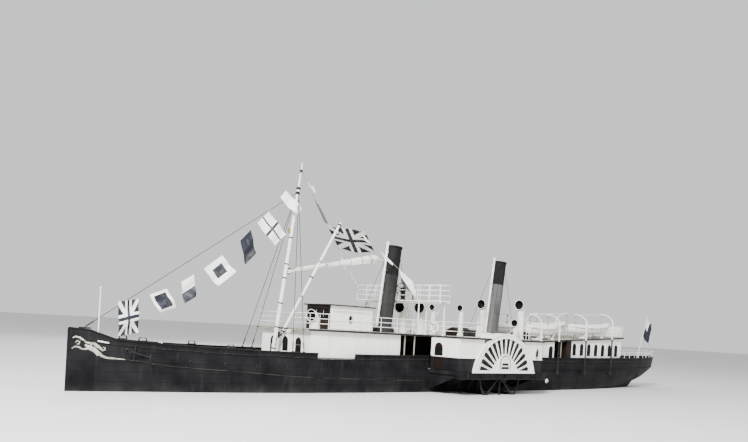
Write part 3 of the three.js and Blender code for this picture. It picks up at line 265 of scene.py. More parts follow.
def grid(name, rows, closed=False):
    """A skin over rows of points, each row with the same count."""
    count = len(rows[0])
    faces = []
    for r in range(len(rows) - 1):
        for i in range(count if closed else count - 1):
            j = (i + 1) % count
            faces.append((r * count + i, r * count + j, (r + 1) * count + j, (r + 1) * count + i))
    return shape(name, [p for row in rows for p in row], faces)


def copied(piece, matrix):
    only(piece)
    bpy.ops.object.duplicate()
    return moved(bpy.context.object, matrix)


ACROSS = Matrix.Scale(-1, 4, (0, 1, 0))


def starboard(piece, name):
    """The same piece on the other side, turned right way out again."""
    twin = copied(piece, ACROSS)
    twin.name = twin.data.name = name
    return edited(twin, lambda: bpy.ops.mesh.flip_normals())


def fitted(name, parts, material, body=SHIP, smooth=30, replaces=()):
    """Names and joins a finished piece, brings it to the model's size and fixes it to its body."""
    piece = moved(joined(name, parts), Matrix.Scale(MODEL, 4))
    bpy.ops.object.shade_smooth_by_angle(angle=math.radians(smooth))
    if material is not None:
        piece.data.materials.clear()
        piece.data.materials.append(material)
    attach(piece, body)
    if replaces:
        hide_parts(*replaces)
    return piece


SIDES = (("port", 1), ("starboard", -1))


def both_sides(name, parts, material, replaces=None):
    """Fits a port piece and its mirrored twin; replaces is a node's name without its side."""
    port = joined(f"{name}_port", parts)
    twins = (port, starboard(port, f"{name}_starboard"))
    for (side, _), piece in zip(SIDES, twins):
        fitted(f"{name}_{side}", piece, material, replaces=[f"{replaces}_{side}"] if replaces else ())


# ---------------------------------------------------------------- finishes


class Finish:
    """A principled material whose nodes read Object coordinates, in the model's metres."""

    def __init__(self, name, colour, roughness, metallic=0.0):
        self.material = bpy.data.materials.new(name)
        self.material.use_nodes = True
        self.nodes = self.material.node_tree.nodes
        self.shader = self.nodes["Principled BSDF"]
        shine = 0.05 if max(colour) < 0.06 else 0.4
        for socket, value in (("Base Color", (*colour, 1)), ("Roughness", roughness), ("Metallic", metallic),
                              ("Specular IOR Level", shine)):
            self.shader.inputs[socket].default_value = value
        self.place = self.nodes.new("ShaderNodeTexCoord").outputs["Object"]

    def link(self, out, into):
        self.material.node_tree.links.new(out, into)

    def put(self, socket, value):
        """Sets an input to a value, or links another node's output to it."""
        if isinstance(value, bpy.types.NodeSocket):
            self.link(value, socket)
        else:
            socket.default_value = value

    def node(self, kind, **inputs):
        made = self.nodes.new(kind)
        for key, value in inputs.items():
            self.put(made.inputs[key.replace("_", " ")], value)
        return made

    def mapped(self, scale=(1, 1, 1), rotation=(0, 0, 0)):
        return self.node("ShaderNodeMapping", Vector=self.place, Scale=scale, Rotation=rotation).outputs["Vector"]

    def noise(self, scale, detail=4.0, stretch=(1, 1, 1)):
        node = self.node("ShaderNodeTexNoise", Vector=self.mapped(stretch), Scale=scale, Detail=detail)
        return node.outputs["Fac"]

    def ramp(self, factor, stops):
        node = self.node("ShaderNodeValToRGB", Fac=factor)
        ramp = node.color_ramp
        while len(ramp.elements) < len(stops):
            ramp.elements.new(0.5)
        for element, (place, colour) in zip(ramp.elements, stops):
            element.position = place
            element.color = (*colour, 1) if hasattr(colour, "__len__") else (colour,) * 3 + (1,)
        return node.outputs["Color"]

    def mix(self, factor, a, b):
        node = self.nodes.new("ShaderNodeMix")
        node.data_type = "RGBA"
        for socket, value in ((node.inputs[0], factor), (node.inputs[6], a), (node.inputs[7], b)):
            self.put(socket, (*value, 1) if isinstance(value, tuple) else value)
        return node.outputs[2]

    def height(self, low, high, axis="Z"):
        """0 below low and 1 above high, in the model's metres along an axis."""
        parts = self.node("ShaderNodeSeparateXYZ", Vector=self.place)
        node = self.node("ShaderNodeMapRange", Value=parts.outputs[axis], From_Min=low, From_Max=high)
        return node.outputs["Result"]

    def bump(self, out, strength, distance):
        earlier = self.shader.inputs["Normal"].links
        node = self.node("ShaderNodeBump", Height=out, Strength=strength, Distance=distance)
        if earlier:
            self.link(earlier[0].from_socket, node.inputs["Normal"])
        self.link(node.outputs["Normal"], self.shader.inputs["Normal"])

    def rough(self, out, low, high):
        node = self.node("ShaderNodeMapRange", Value=out, To_Min=low, To_Max=high)
        self.link(node.outputs["Result"], self.shader.inputs["Roughness"])

    def bricks(self, length, width, joint, turn=(0, 0, 0), shades=((0.45,) * 3, (0.55,) * 3)):
        """Rows of plates or planks, with their joints, in the model's metres."""
        node = self.node(
            "ShaderNodeTexBrick", Vector=self.mapped(rotation=turn), Scale=1, Brick_Width=length, Row_Height=width,
            Mortar_Size=joint, Mortar_Smooth=0.3, Color1=(*shades[0], 1), Color2=(*shades[1], 1), Mortar=(0, 0, 0, 1))
        node.offset = 0.5
        return node.outputs["Color"], node.outputs["Fac"]

    def paint(self, colour):
        self.link(colour, self.shader.inputs["Base Color"])


UPRIGHT = (math.pi / 2, 0, 0)


def black_plating():
    """Hull paint: strakes of plates, rain streaks, and dull red below the water."""
    finish = Finish("black_plating", (0.01, 0.01, 0.011), 0.5)
    _, seams = finish.bricks(1.9, 0.3, 0.006, UPRIGHT)
    streaks = finish.noise(3.0, 5.0, (2.2, 2.2, 0.22))
    mottle = finish.noise(1.3, 6.0)
    base = finish.ramp(mottle, [(0.35, (0.005, 0.005, 0.006)), (0.7, (0.014, 0.014, 0.015))])
    worn = finish.mix(finish.ramp(streaks, [(0.55, 0.0), (0.8, 0.3)]), base, (0.045, 0.044, 0.042))
    seamed = finish.mix(seams, worn, (0.003, 0.003, 0.003))
    splash = finish.ramp(finish.height(0.0, 0.22), [(0.0, 1.0), (1.0, 0.0)])
    salted = finish.mix(finish.mix(splash, (0, 0, 0), finish.ramp(mottle, [(0.4, 0.0), (0.75, 0.3)])),
                        seamed, (0.08, 0.078, 0.074))
    wet = finish.height(-0.02, 0.0)
    finish.paint(finish.mix(wet, (0.07, 0.028, 0.022), salted))
    finish.rough(mottle, 0.4, 0.62)
    finish.bump(seams, 0.5, -0.004)
    finish.bump(finish.noise(14.0, 3.0), 0.12, 0.004)
    return finish.material


def white_paint(name, colour, length, width, joint, turn):
    """White work with its joints, faint stains under them and a slight brush texture."""
    finish = Finish(name, colour, 0.4)
    _, joints = finish.bricks(length, width, joint, turn)
    stain = finish.noise(2.2, 6.0, (1.6, 1.6, 0.3))
    dull = tuple(channel * 0.82 for channel in colour)
    base = finish.mix(finish.ramp(stain, [(0.42, 0.0), (0.8, 0.7)]), colour, dull)
    finish.paint(finish.mix(finish.mix(joints, (0, 0, 0), (0.55,) * 3), base, (0.3, 0.29, 0.27)))
    finish.rough(stain, 0.32, 0.55)
    finish.bump(joints, 0.5, -0.002)
    finish.bump(finish.noise(40.0, 2.0, (1, 1, 0.3)), 0.06, 0.002)
    return finish.material


def two_tone(name, axis, level, low, high):
    """Plates in one pair of shades below a level along an axis, and in another above it."""
    finish = Finish(name, high[0], 0.42)
    finish.shader.inputs["Specular IOR Level"].default_value = 0.12
    _, joints = finish.bricks(1.1, 0.62, 0.003, UPRIGHT)
    stain = finish.noise(2.2, 6.0, (1.6, 1.6, 0.3))
    share = finish.ramp(stain, [(0.42, 0.0), (0.8, 0.7)])
    both = finish.mix(finish.height(level - 0.003, level, axis), finish.mix(share, *low), finish.mix(share, *high))
    finish.paint(finish.mix(finish.mix(joints, (0, 0, 0), (0.4,) * 3), both, (0.06, 0.06, 0.055)))
    finish.rough(stain, 0.32, 0.55)
    finish.bump(joints, 0.5, -0.002)
    return finish.material


def deck_planks():
    """Scrubbed planks fore and aft, with pitch in their seams."""
    finish = Finish("deck_planks", (0.4, 0.36, 0.3), 0.75)
    tone, seams = finish.bricks(3.2, 0.065, 0.0022, shades=((0.26, 0.235, 0.195), (0.4, 0.37, 0.315)))
    grain = finish.noise(9.0, 6.0, (0.6, 14, 1))
    wood = finish.mix(finish.ramp(grain, [(0.35, 0.0), (0.7, 0.6)]), tone, (0.2, 0.175, 0.14))
    finish.paint(finish.mix(seams, wood, (0.02, 0.018, 0.016)))
    finish.bump(seams, 0.6, -0.002)
    finish.bump(grain, 0.2, 0.001)
    return finish.material


def grained(name, light, dark, roughness, stretch=(2, 14, 14)):
    """Wood with its grain along the piece and a worn varnish."""
    finish = Finish(name, light, roughness)
    grain = finish.noise(6.0, 8.0, stretch)
    finish.paint(finish.ramp(grain, [(0.3, dark), (0.65, light)]))
    finish.rough(grain, roughness - 0.1, roughness + 0.15)
    finish.bump(grain, 0.2, 0.001)
    finish.shader.inputs["Coat Weight"].default_value = 0.05
    return finish.material


def weathered(name, light, dark, roughness, metallic=0.0, scale=6.0):
    """Painted or bare metal with soft patches of wear."""
    finish = Finish(name, light, roughness, metallic)
    patch = finish.noise(scale, 8.0, (1, 1, 0.5))
    finish.paint(finish.ramp(patch, [(0.35, dark), (0.62, light)]))
    finish.rough(patch, roughness + 0.12, roughness - 0.1)
    finish.bump(finish.noise(scale * 9, 3.0), 0.1, 0.001)
    return finish.material


def woven(name, colour):
    """Bunting or canvas: a fine weave with sheen and a little soiling."""
    finish = Finish(name, colour, 0.85)
    soil = finish.noise(3.5, 6.0)
    dull = tuple(channel * 0.72 for channel in colour)
    finish.paint(finish.ramp(soil, [(0.35, colour), (0.75, dull)]))
    for axis in ("X", "Z"):
        wave = finish.node("ShaderNodeTexWave", Vector=finish.mapped(), Scale=190.0)
        wave.bands_direction = axis
        finish.bump(wave.outputs["Fac"], 0.12, 0.0006)
    finish.shader.inputs["Sheen Weight"].default_value = 0.3
    return finish.material


def dark_glass():
    finish = Finish("window_glass", (0.006, 0.007, 0.008), 0.2)
    ripple = finish.noise(2.0, 2.0)
    finish.rough(ripple, 0.14, 0.26)
    finish.bump(ripple, 0.05, 0.004)
    return finish.material


WHITE_PAINT = (0.84, 0.83, 0.8)
HULL_BLACK = black_plating()
PLATE_WHITE = white_paint("white_plates", WHITE_PAINT, 1.1, 0.62, 0.003, UPRIGHT)
BOARD_WHITE = white_paint("white_boards", WHITE_PAINT, 40.0, 0.06, 0.0025, (math.pi / 2, math.pi / 2, 0))
FITTING_WHITE = weathered("white_fittings", WHITE_PAINT, (0.66, 0.65, 0.62), 0.4)
DECK = deck_planks()
SPAR = grained("spar_paint", (0.8, 0.78, 0.72), (0.62, 0.59, 0.53), 0.42, (14, 14, 1.2))
# dark varnished joiner work; the same finish is painted shade on the machinery casing, in the passages beside the
# houses
JOINERY_AND_PASSAGE_SHADE = grained("joiner_work_and_passage_shade", (0.014, 0.0095, 0.0078), (0.007, 0.005, 0.0045), 0.5)
FUNNEL_FORE = weathered("fore_funnel_grey", (0.032, 0.0315, 0.031), (0.019, 0.0185, 0.018), 0.6, scale=2.4)
FUNNEL_AFT = weathered("aft_funnel_grey", (0.088, 0.087, 0.084), (0.052, 0.051, 0.049), 0.6, scale=2.4)
FUNNEL_BLACK = weathered("funnel_soot", (0.014, 0.014, 0.014), (0.007, 0.007, 0.007), 0.7, scale=3.0)
IRON = weathered("oiled_iron", (0.04, 0.039, 0.038), (0.014, 0.014, 0.013), 0.5, 0.5)
# black paint on the fittings; the same finish is painted shade on the paddle wheels and on the inner arch of the boxes'
# centre plates
BLACK_FITTINGS_AND_SHADE = weathered("black_fittings_and_painted_shade", (0.022, 0.022, 0.023), (0.01, 0.01, 0.01), 0.4)
# dark of the cowls' throats and the funnels' insides; the same finish is painted shade in and behind the paddle boxes'
# slots
DARK_THROAT_AND_SLOT_SHADE = weathered("dark_throat_and_slot_shade", (0.02, 0.02, 0.02), (0.008, 0.008, 0.008), 0.8)
BRASS = weathered("old_brass", (0.5, 0.38, 0.17), (0.25, 0.18, 0.08), 0.3, 0.9)
CANVAS = woven("white_canvas", (0.8, 0.79, 0.75))
BUNTING_DARK = woven("bunting_dark", (0.03, 0.032, 0.045))
ROPE = woven("manila_rope", (0.33, 0.28, 0.2))
GLASS = dark_glass()
STRAKE = weathered("worn_strake", (0.04, 0.039, 0.036), (0.006, 0.006, 0.006), 0.7, scale=2.2)
ORNAMENT = weathered("scroll_paint", (0.42, 0.4, 0.34), (0.2, 0.19, 0.16), 0.5)

# what each of the record's slots becomes on the nodes that stay
SLOT_FINISH = {
    "black": HULL_BLACK, "white": PLATE_WHITE, "deck": DECK, "grey": FUNNEL_AFT,
    "varnish": JOINERY_AND_PASSAGE_SHADE, "iron": IRON, "cloth": CANVAS, "dark": BUNTING_DARK,
}
# each pair of shades is the clean one and the stained one
WHITES = (WHITE_PAINT, (0.69, 0.68, 0.655))
BLACKS = ((0.006, 0.006, 0.007), (0.016, 0.016, 0.016))
BROWNS = ((0.014, 0.009, 0.007), (0.024, 0.016, 0.012))
SPONSON_WALL = two_tone("sponson_walls", "Z", 2.85 * MODEL, BLACKS, WHITES)
# white on the aft saloon, and brown forward of x = -13.74 as painted shade of the passage in front of it
SALOON_WALL_AND_PASSAGE_SHADE = two_tone("saloon_walls_and_passage_shade", "X", -13.74 * MODEL, WHITES, BROWNS)
CHARTHOUSE_WALL = two_tone("charthouse_walls", "X", 13.27 * MODEL, WHITES, BROWNS)
NODE_FINISH = {
    **{f"sponson_house_{end}_{side}": SPONSON_WALL for end in ("fore", "aft") for side in ("port", "starboard")},
    # the machinery casing takes the dark joiner work as painted shade of the passages it shows in
    # the paddle wheels take the black finish as painted shade, for the shade they stand in under the boxes
    "machinery_casing": JOINERY_AND_PASSAGE_SHADE, "aft_saloon": SALOON_WALL_AND_PASSAGE_SHADE, "paddle_wheels": BLACK_FITTINGS_AND_SHADE,
    "charthouse": CHARTHOUSE_WALL, "bridge": FITTING_WHITE,
    "mast": SPAR, "derrick": SPAR, "sail_boom": SPAR,
}
for part in frame["record"]["subparts"]:
    node = frame["nodes"][part["node"]]
    finish = NODE_FINISH.get(part["node"], SLOT_FINISH[part["material_slot"]])
    if node.material_slots:
        for each in node.material_slots:
            each.material = finish
    else:
        node.data.materials.append(finish)

# ---------------------------------------------------------------- camera, light and floor
# The camera stands off the port bow, level, rolled a little as the photograph is.

EYE = (48.5, 46.8, 4.75)
LOOKING = Vector((-0.656, -0.755, 0)).normalized()
ROLL = 0.057
LENS = 38.5
SENSOR = 36
HORIZON_BELOW_MIDDLE = 105.9
PICTURE_WIDTH = 748


def make_camera():
    data = bpy.data.cameras.new("camera")
    camera = bpy.data.objects.new("camera", data)
    bpy.context.collection.objects.link(camera)
    data.sensor_width = SENSOR
    data.lens = LENS
    data.shift_y = HORIZON_BELOW_MIDDLE / PICTURE_WIDTH
    data.clip_end = 1000
    right = LOOKING.cross(Vector((0, 0, 1)))
    up = Vector((0, 0, 1))
    tilted_right = right * math.cos(ROLL) + up * math.sin(ROLL)
    tilted_up = up * math.cos(ROLL) - right * math.sin(ROLL)
    turn = Matrix((tilted_right, tilted_up, -LOOKING)).transposed().to_4x4()
    camera.matrix_world = Matrix.Translation(Vector(EYE) * MODEL) @ turn
    bpy.context.scene.camera = camera


def make_light(name, place, size, power):
    data = bpy.data.lights.new(name, "AREA")
    data.shape = "DISK"
    data.size = size
    data.energy = power
    light = bpy.data.objects.new(name, data)
    bpy.context.collection.objects.link(light)
    light.location = place
    light.rotation_mode = "QUATERNION"
    light.rotation_quaternion = Vector(place).to_track_quat("Z", "Y")


def make_studio():
    world = bpy.data.worlds.new("studio")
    world.use_nodes = True
    background = world.node_tree.nodes["Background"]
    background.inputs["Color"].default_value = (0.86, 0.87, 0.88, 1)
    background.inputs["Strength"].default_value = 1.08
    bpy.context.scene.world = world
    make_light("key", (34, 22, 30), 12, 62000)
    make_light("fill", (-20, 40, 22), 20, 6000)
    make_light("back", (-10, -36, 24), 20, 7000)
    bpy.ops.object.select_all(action="DESELECT")
    bpy.ops.mesh.primitive_plane_add(size=600, location=(0, 0, 0))
    floor = bpy.context.object
    floor.name = "floor"
    floor.data.materials.append(Finish("studio_floor", (0.62, 0.62, 0.61), 0.6).material)


make_camera()
make_studio()


# ---------------------------------------------------------------- hull fittings


def tint(parts, *materials, choose=None):
    """Gives a piece, or a list joined to one, its finishes; choose picks one for each face by its middle."""
    piece = joined("part", parts) if isinstance(parts, list) else parts
    piece.data.materials.clear()
    for material in materials:
        piece.data.materials.append(material)
    if choose:
        for face in piece.data.polygons:
            face.material_index = choose(face.center)
    return piece


def reface():
    """Turns every face outwards."""
    bpy.ops.mesh.normals_make_consistent(inside=False)


def hull_run(fore, aft, level, proud=0.0, step=0.8):
    """Points along the port side from fore to aft, at a level given for each x."""
    count = max(2, round((fore - aft) / step))
    points = []
    for i in range(count + 1):
        x = fore + (aft - fore) * i / count
        z = level(x)
        points.append((x, side_y(x, z) + proud, z))
    return points


STRAKE_LEVELS = [(28, 1.95), (25.45, 1.6), (21.2, 1.38), (16.9, 1.1), (10, 0.93), (1.5, 0.86)]
SPONSON_END = 5.25  # the side's mouldings stop at the sponsons


def make_hull_trim():
    """The thin light moulding, the sheer bead, the rubbing band and the capped rail."""
    strake = hull_run(28.3, 5.3, lambda x: along(STRAKE_LEVELS, 1, x), 0.012)
    both_sides("thin_strake", tubes("strake", [strake], 0.022), STRAKE)
    beads = [hull_run(fore, aft, lambda x: sheer_z(x) - 0.32, 0.012)
             for fore, aft in ((30.9, SPONSON_END), (-SPONSON_END, -32.4))]
    both_sides("sheer_bead", tubes("beads", beads, 0.035), BLACK_FITTINGS_AND_SHADE)
    band = hull_run(-7.8, -32.0, lambda x: sheer_z(x) - 1.05, 0.02)
    both_sides("aft_rubbing_band", tubes("band", [band], 0.055, 10), HULL_BLACK)
    caps = []
    for fore, aft in ((28.7, 15.6), (12.4, SPONSON_END), (-SPONSON_END, -32.5)):
        rows = []
        for x, y, _ in hull_run(fore, aft, sheer_z):
            z = rail_z(x)
            rows.append([(x, y - 0.17, z), (x, y - 0.16, z + 0.03), (x, y + 0.04, z + 0.03), (x, y + 0.05, z)])
        cap = grid("rail_cap", rows, closed=True)
        caps.append(edited(cap, lambda: bpy.ops.mesh.fill_holes(sides=6), outward))
    both_sides("rail_cap", caps, JOINERY_AND_PASSAGE_SHADE)


# the bow's flourish: each stroke's points (x, z) and its half-thickness at each
SCROLL = [
    ([(31.15, 3.12), (31.0, 3.2), (30.8, 3.16), (30.6, 3.02), (30.45, 2.9), (30.3, 2.85), (30.1, 2.9)],
     [0.02, 0.045, 0.06, 0.05, 0.06, 0.07, 0.03]),
    ([(31.15, 2.5), (31.0, 2.62), (30.8, 2.6), (30.62, 2.48), (30.4, 2.5), (30.2, 2.66), (30.15, 2.86)],
     [0.02, 0.04, 0.05, 0.045, 0.06, 0.07, 0.05]),
    ([(31.0, 2.85), (30.9, 2.98), (30.78, 2.9), (30.8, 2.78), (30.92, 2.76)],
     [0.02, 0.04, 0.04, 0.035, 0.02]),
    ([(30.5, 2.75), (30.3, 2.6), (30.05, 2.5), (29.8, 2.32), (29.55, 2.12), (29.3, 2.02), (28.95, 2.0),
      (28.5, 1.97), (28.0, 1.93)], [0.05, 0.12, 0.14, 0.11, 0.08, 0.06, 0.05, 0.03, 0.012]),
    ([(30.1, 2.9), (29.9, 2.72), (29.7, 2.6), (29.55, 2.45), (29.42, 2.5), (29.45, 2.62), (29.55, 2.64)],
     [0.08, 0.1, 0.08, 0.06, 0.05, 0.04, 0.02]),
    ([(29.95, 2.3), (29.8, 2.16), (29.62, 2.2), (29.65, 2.3)], [0.03, 0.045, 0.035, 0.02]),
]


def make_bow_scroll():
    """A carved flourish in relief on each bow: two curling tails that meet in a leaf."""
    runs = [[(x, side_y(x, z) + 0.02, z, width) for (x, z), width in zip(points, widths)]
            for points, widths in SCROLL]
    scroll = tubes("bow_scroll", runs, 0.1, 10)
    for vertex in scroll.data.vertices:  # carved work lies close to the plating
        x, y, z = vertex.co
        side = side_y(x, z)
        vertex.co.y = side + max(-0.01, (y - side) * 0.45)
    both_sides("bow_scroll", scroll, ORNAMENT)
    bar = [(x, side_y(x, z), z) for x, z in ((29.85, 3.0), (29.25, 2.9))]
    both_sides("bow_bar", tubes("bar", [bar], 0.045), FITTING_WHITE)


PLATE_SLOPE = (0, 1, -0.12)
SCUTTLES = (26.6, 24.4, 22.2, 20.0, 17.8, -12.5, -15.0, -17.5, -20.0, -22.5)
OUTLET = (-9.76, 0.84)


def on_plating(name, profile, x, z, towards=PLATE_SLOPE):
    return turned(name, profile, (x, side_y(x, z), z), towards, 20)


def hull_round(x, z, radius, depth):
    """A ring flush on the plating, such as an outlet or a scuttle."""
    profile = [(radius * 0.62, -0.02), (radius * 0.62, depth), (radius * 0.8, depth + 0.012),
               (radius, depth * 0.6), (radius, -0.02)]
    return on_plating("ring", profile, x, z)


def make_hull_rounds():
    spout = [(0.0, 0.01), (0.1, 0.01), (0.12, 0.05), (0.09, 0.12), (0, 0.12)]
    both_sides("outlet", [hull_round(*OUTLET, 0.2, 0.05), on_plating("spout", spout, *OUTLET)],
               FITTING_WHITE)
    both_sides("scuttles", [hull_round(x, sheer_z(x) - 1.02, 0.13, 0.03) for x in SCUTTLES],
               BLACK_FITTINGS_AND_SHADE)
    pane = [(0, 0.012), (0.05, 0.016), (0.085, 0.006), (0.085, -0.01)]
    both_sides("scuttle_panes", [on_plating("pane", pane, x, sheer_z(x) - 1.02) for x in SCUTTLES],
               GLASS)
    pipes = [hull_round(x, sheer_z(x) - 0.62, radius, 0.06)
             for x, radius in ((28.2, 0.16), (14.9, 0.09), (-11.8, 0.09), (-24.2, 0.09))]
    both_sides("hawse_pipes", pipes, IRON)


def make_anchors():
    """A stocked anchor lashed at each bow, its ring to the hawse pipe."""
    x, z = 27.3, 2.2
    y = side_y(x, z) + 0.1
    shank = rod((x + 0.75, y, z + 0.25), (x - 0.5, y, z - 0.1), 0.045, 0.06)
    arms = tubes("arms", [[(x - 0.7 + 0.28 * math.cos(a), y, z - 0.1 + 0.42 * math.sin(a),
                            0.055 - 0.02 * abs(a) / 1.2)
                           for a in (-1.2, -0.8, -0.4, 0, 0.4, 0.8, 1.2)]], 0.055)
    palms = [block(x - 0.72, x - 0.48, y - 0.09, y + 0.07, z - 0.1 + s * 0.34, z - 0.1 + s * 0.44, 0.03)
             for s in (-1, 1)]
    stock = rod((x + 0.62, y - 0.03, z - 0.25), (x + 0.5, y - 0.03, z + 0.68), 0.035)
    ring = turned("ring", [(0.11 + c, s) for c, s in circle(8, 0.02, extra=1)], (x + 0.88, y, z + 0.28),
                  (0, 1, 0), 16)
    both_sides("anchor", [shank, arms, *palms, stock, ring], BLACK_FITTINGS_AND_SHADE)


def make_stem():
    """The stem band and the moulded edge of the counter."""
    stem = tubes("stem", [[(31.33, 0, -0.4 + 4.1 * i / 10) for i in range(11)]], 0.07, 12)
    fitted("stem_band", stem, HULL_BLACK)
    edge = [(x, side_y(x, sheer_z(x)) + 0.02, sheer_z(x) - 0.05)
            for x in (-30.5, -31.1, -31.7, -32.2, -32.5, -32.7)]
    run = edge + [(-32.78, 0, 3.19)] + [(x, -y, z) for x, y, z in reversed(edge)]
    fitted("counter_moulding", tubes("moulding", [run], 0.05, 10), ORNAMENT)


# ---------------------------------------------------------------- deck fittings

BITT = [(0, 0), (0.11, 0), (0.1, 0.06), (0.085, 0.12), (0.085, 0.38), (0.13, 0.42), (0.13, 0.47), (0.09, 0.5),
        (0, 0.5)]


def bollard(x, y, z, gap=0.55):
    bitts = [turned("bitt", BITT, (x + dx, y, z), steps=20) for dx in (-gap / 2, gap / 2)]
    return [block(x - gap * 0.95, x + gap * 0.95, y - 0.14, y + 0.14, z, z + 0.06, 0.015), *bitts]


def make_bollards():
    parts = []
    for x in (24.6, 19.3, -24.4, -28.2):
        parts += bollard(x, along(LINES, 3, x) - 0.55, deck_z(x) - 0.01)
    both_sides("bollards", parts, BLACK_FITTINGS_AND_SHADE)
    chocks = []
    for x in (27.4, 22.0, -22.3, -29.4):
        y, z = side_y(x, rail_z(x)) - 0.07, rail_z(x) + 0.03
        chocks.append(block(x - 0.3, x + 0.3, y - 0.08, y + 0.08, z, z + 0.05, 0.015))
        for s in (-1, 1):
            horn = [(x + s * 0.24, y, z + 0.03, 0.045), (x + s * 0.24, y, z + 0.15, 0.04),
                    (x + s * 0.16, y, z + 0.21, 0.03), (x + s * 0.05, y, z + 0.2, 0.02)]
            chocks.append(tubes("horn", [horn], 0.045))
    both_sides("fairleads", chocks, IRON)


def make_stanchions():
    """The bulwarks' inner stays."""
    stays = []
    for x in [26.2 - 1.5 * i for i in range(7)] + [-12 - 1.6 * i for i in range(11)]:
        y, top, foot = side_y(x, rail_z(x)) - 0.13, rail_z(x) - 0.07, deck_z(x)
        stays.append([(x, y, top), (x, y - 0.03, (top + foot) / 2 + 0.1), (x, y - 0.3, foot)])
    both_sides("bulwark_stays", tubes("stays", stays, 0.028), BLACK_FITTINGS_AND_SHADE)


BELL = [(0.03, 0.2), (0.09, 0.18), (0.11, 0.1), (0.13, 0.03), (0.17, 0), (0.15, -0.005), (0.11, 0.03),
        (0.0, 0.15)]


def make_fore_deck():
    """The cargo hatch with its boarded lid, a scuttle over the fore steps, and the ship's bell."""
    z = deck_z(21)
    boards = [block(19.94, 22.06, -0.98 + i * 0.28, -0.72 + i * 0.28, z + 0.3, z + 0.36, 0.012)
              for i in range(7)]
    fitted("fore_hatch", [block(19.9, 22.1, -1.05, 1.05, z - 0.03, z + 0.32, 0.02), *boards],
           JOINERY_AND_PASSAGE_SHADE)
    bars = [rod((x, -1.08, z + 0.375), (x, 1.08, z + 0.375), 0.02) for x in (20.4, 21.0, 21.6)]
    fitted("hatch_bars", bars, IRON)
    z = deck_z(23.8)
    walls = block(23.3, 24.4, -0.45, 0.45, z - 0.02, z + 0.85, 0.02)
    for vertex in walls.data.vertices:  # the scuttle's roof falls towards its door
        if vertex.co.z > z + 0.5:
            vertex.co.z += 0.12 * (vertex.co.x - 23.85)
    slide = block(23.35, 24.45, -0.36, 0.36, z + 0.86, z + 0.95, 0.02)
    panels = [block(23.28, 23.31, y - 0.17, y + 0.17, z + 0.12, z + 0.72) for y in (-0.2, 0.2)]
    fitted("fore_scuttle", [walls, slide, *panels], JOINERY_AND_PASSAGE_SHADE)
    x, z = 25.55, deck_z(27)
    posts = [rod((x, y, z - 0.05), (x, y, z + 0.85), 0.05, 0.04) for y in (-0.3, 0.3)]
    beam = [(x, -0.3, z + 0.82), (x, -0.15, z + 0.94), (x, 0.15, z + 0.94), (x, 0.3, z + 0.82)]
    bell = turned("bell", BELL, (x, 0, z + 0.62), steps=24)
    fitted("belfry", [*posts, tubes("beam", [beam], 0.04)], FITTING_WHITE)
    fitted("bell", bell, BRASS)


# ---------------------------------------------------------------- paddle boxes and sponsons

DRUM_Z = 1.1
SPONSON_DECK = 1.8
SLOTS = 14
PLATE_FACE = 6.74  # the middle of the mouldings on the drum's centre plate


def half_ring(outer, inner, y0, y1, steps=64):
    """A flat half hoop about the drum's axis, standing on the sponson."""
    start = math.asin((SPONSON_DECK - DRUM_Z) / outer)
    rows = []
    for i in range(steps + 1):
        a = start + (math.pi - 2 * start) * i / steps
        rows.append([(r * math.cos(a), y, DRUM_Z + r * math.sin(a))
                     for r, y in ((inner, y0), (inner, y1), (outer, y1), (outer, y0))])
    hoop = grid("half_ring", rows, closed=True)
    return edited(hoop, lambda: bpy.ops.mesh.fill_holes(sides=8), outward)


def slot_way(i):
    """The direction of a slot from the drum's middle, as its cosine and sine."""
    a = math.pi * (0.075 + 0.85 * i / (SLOTS - 1))
    return math.cos(a), math.sin(a)


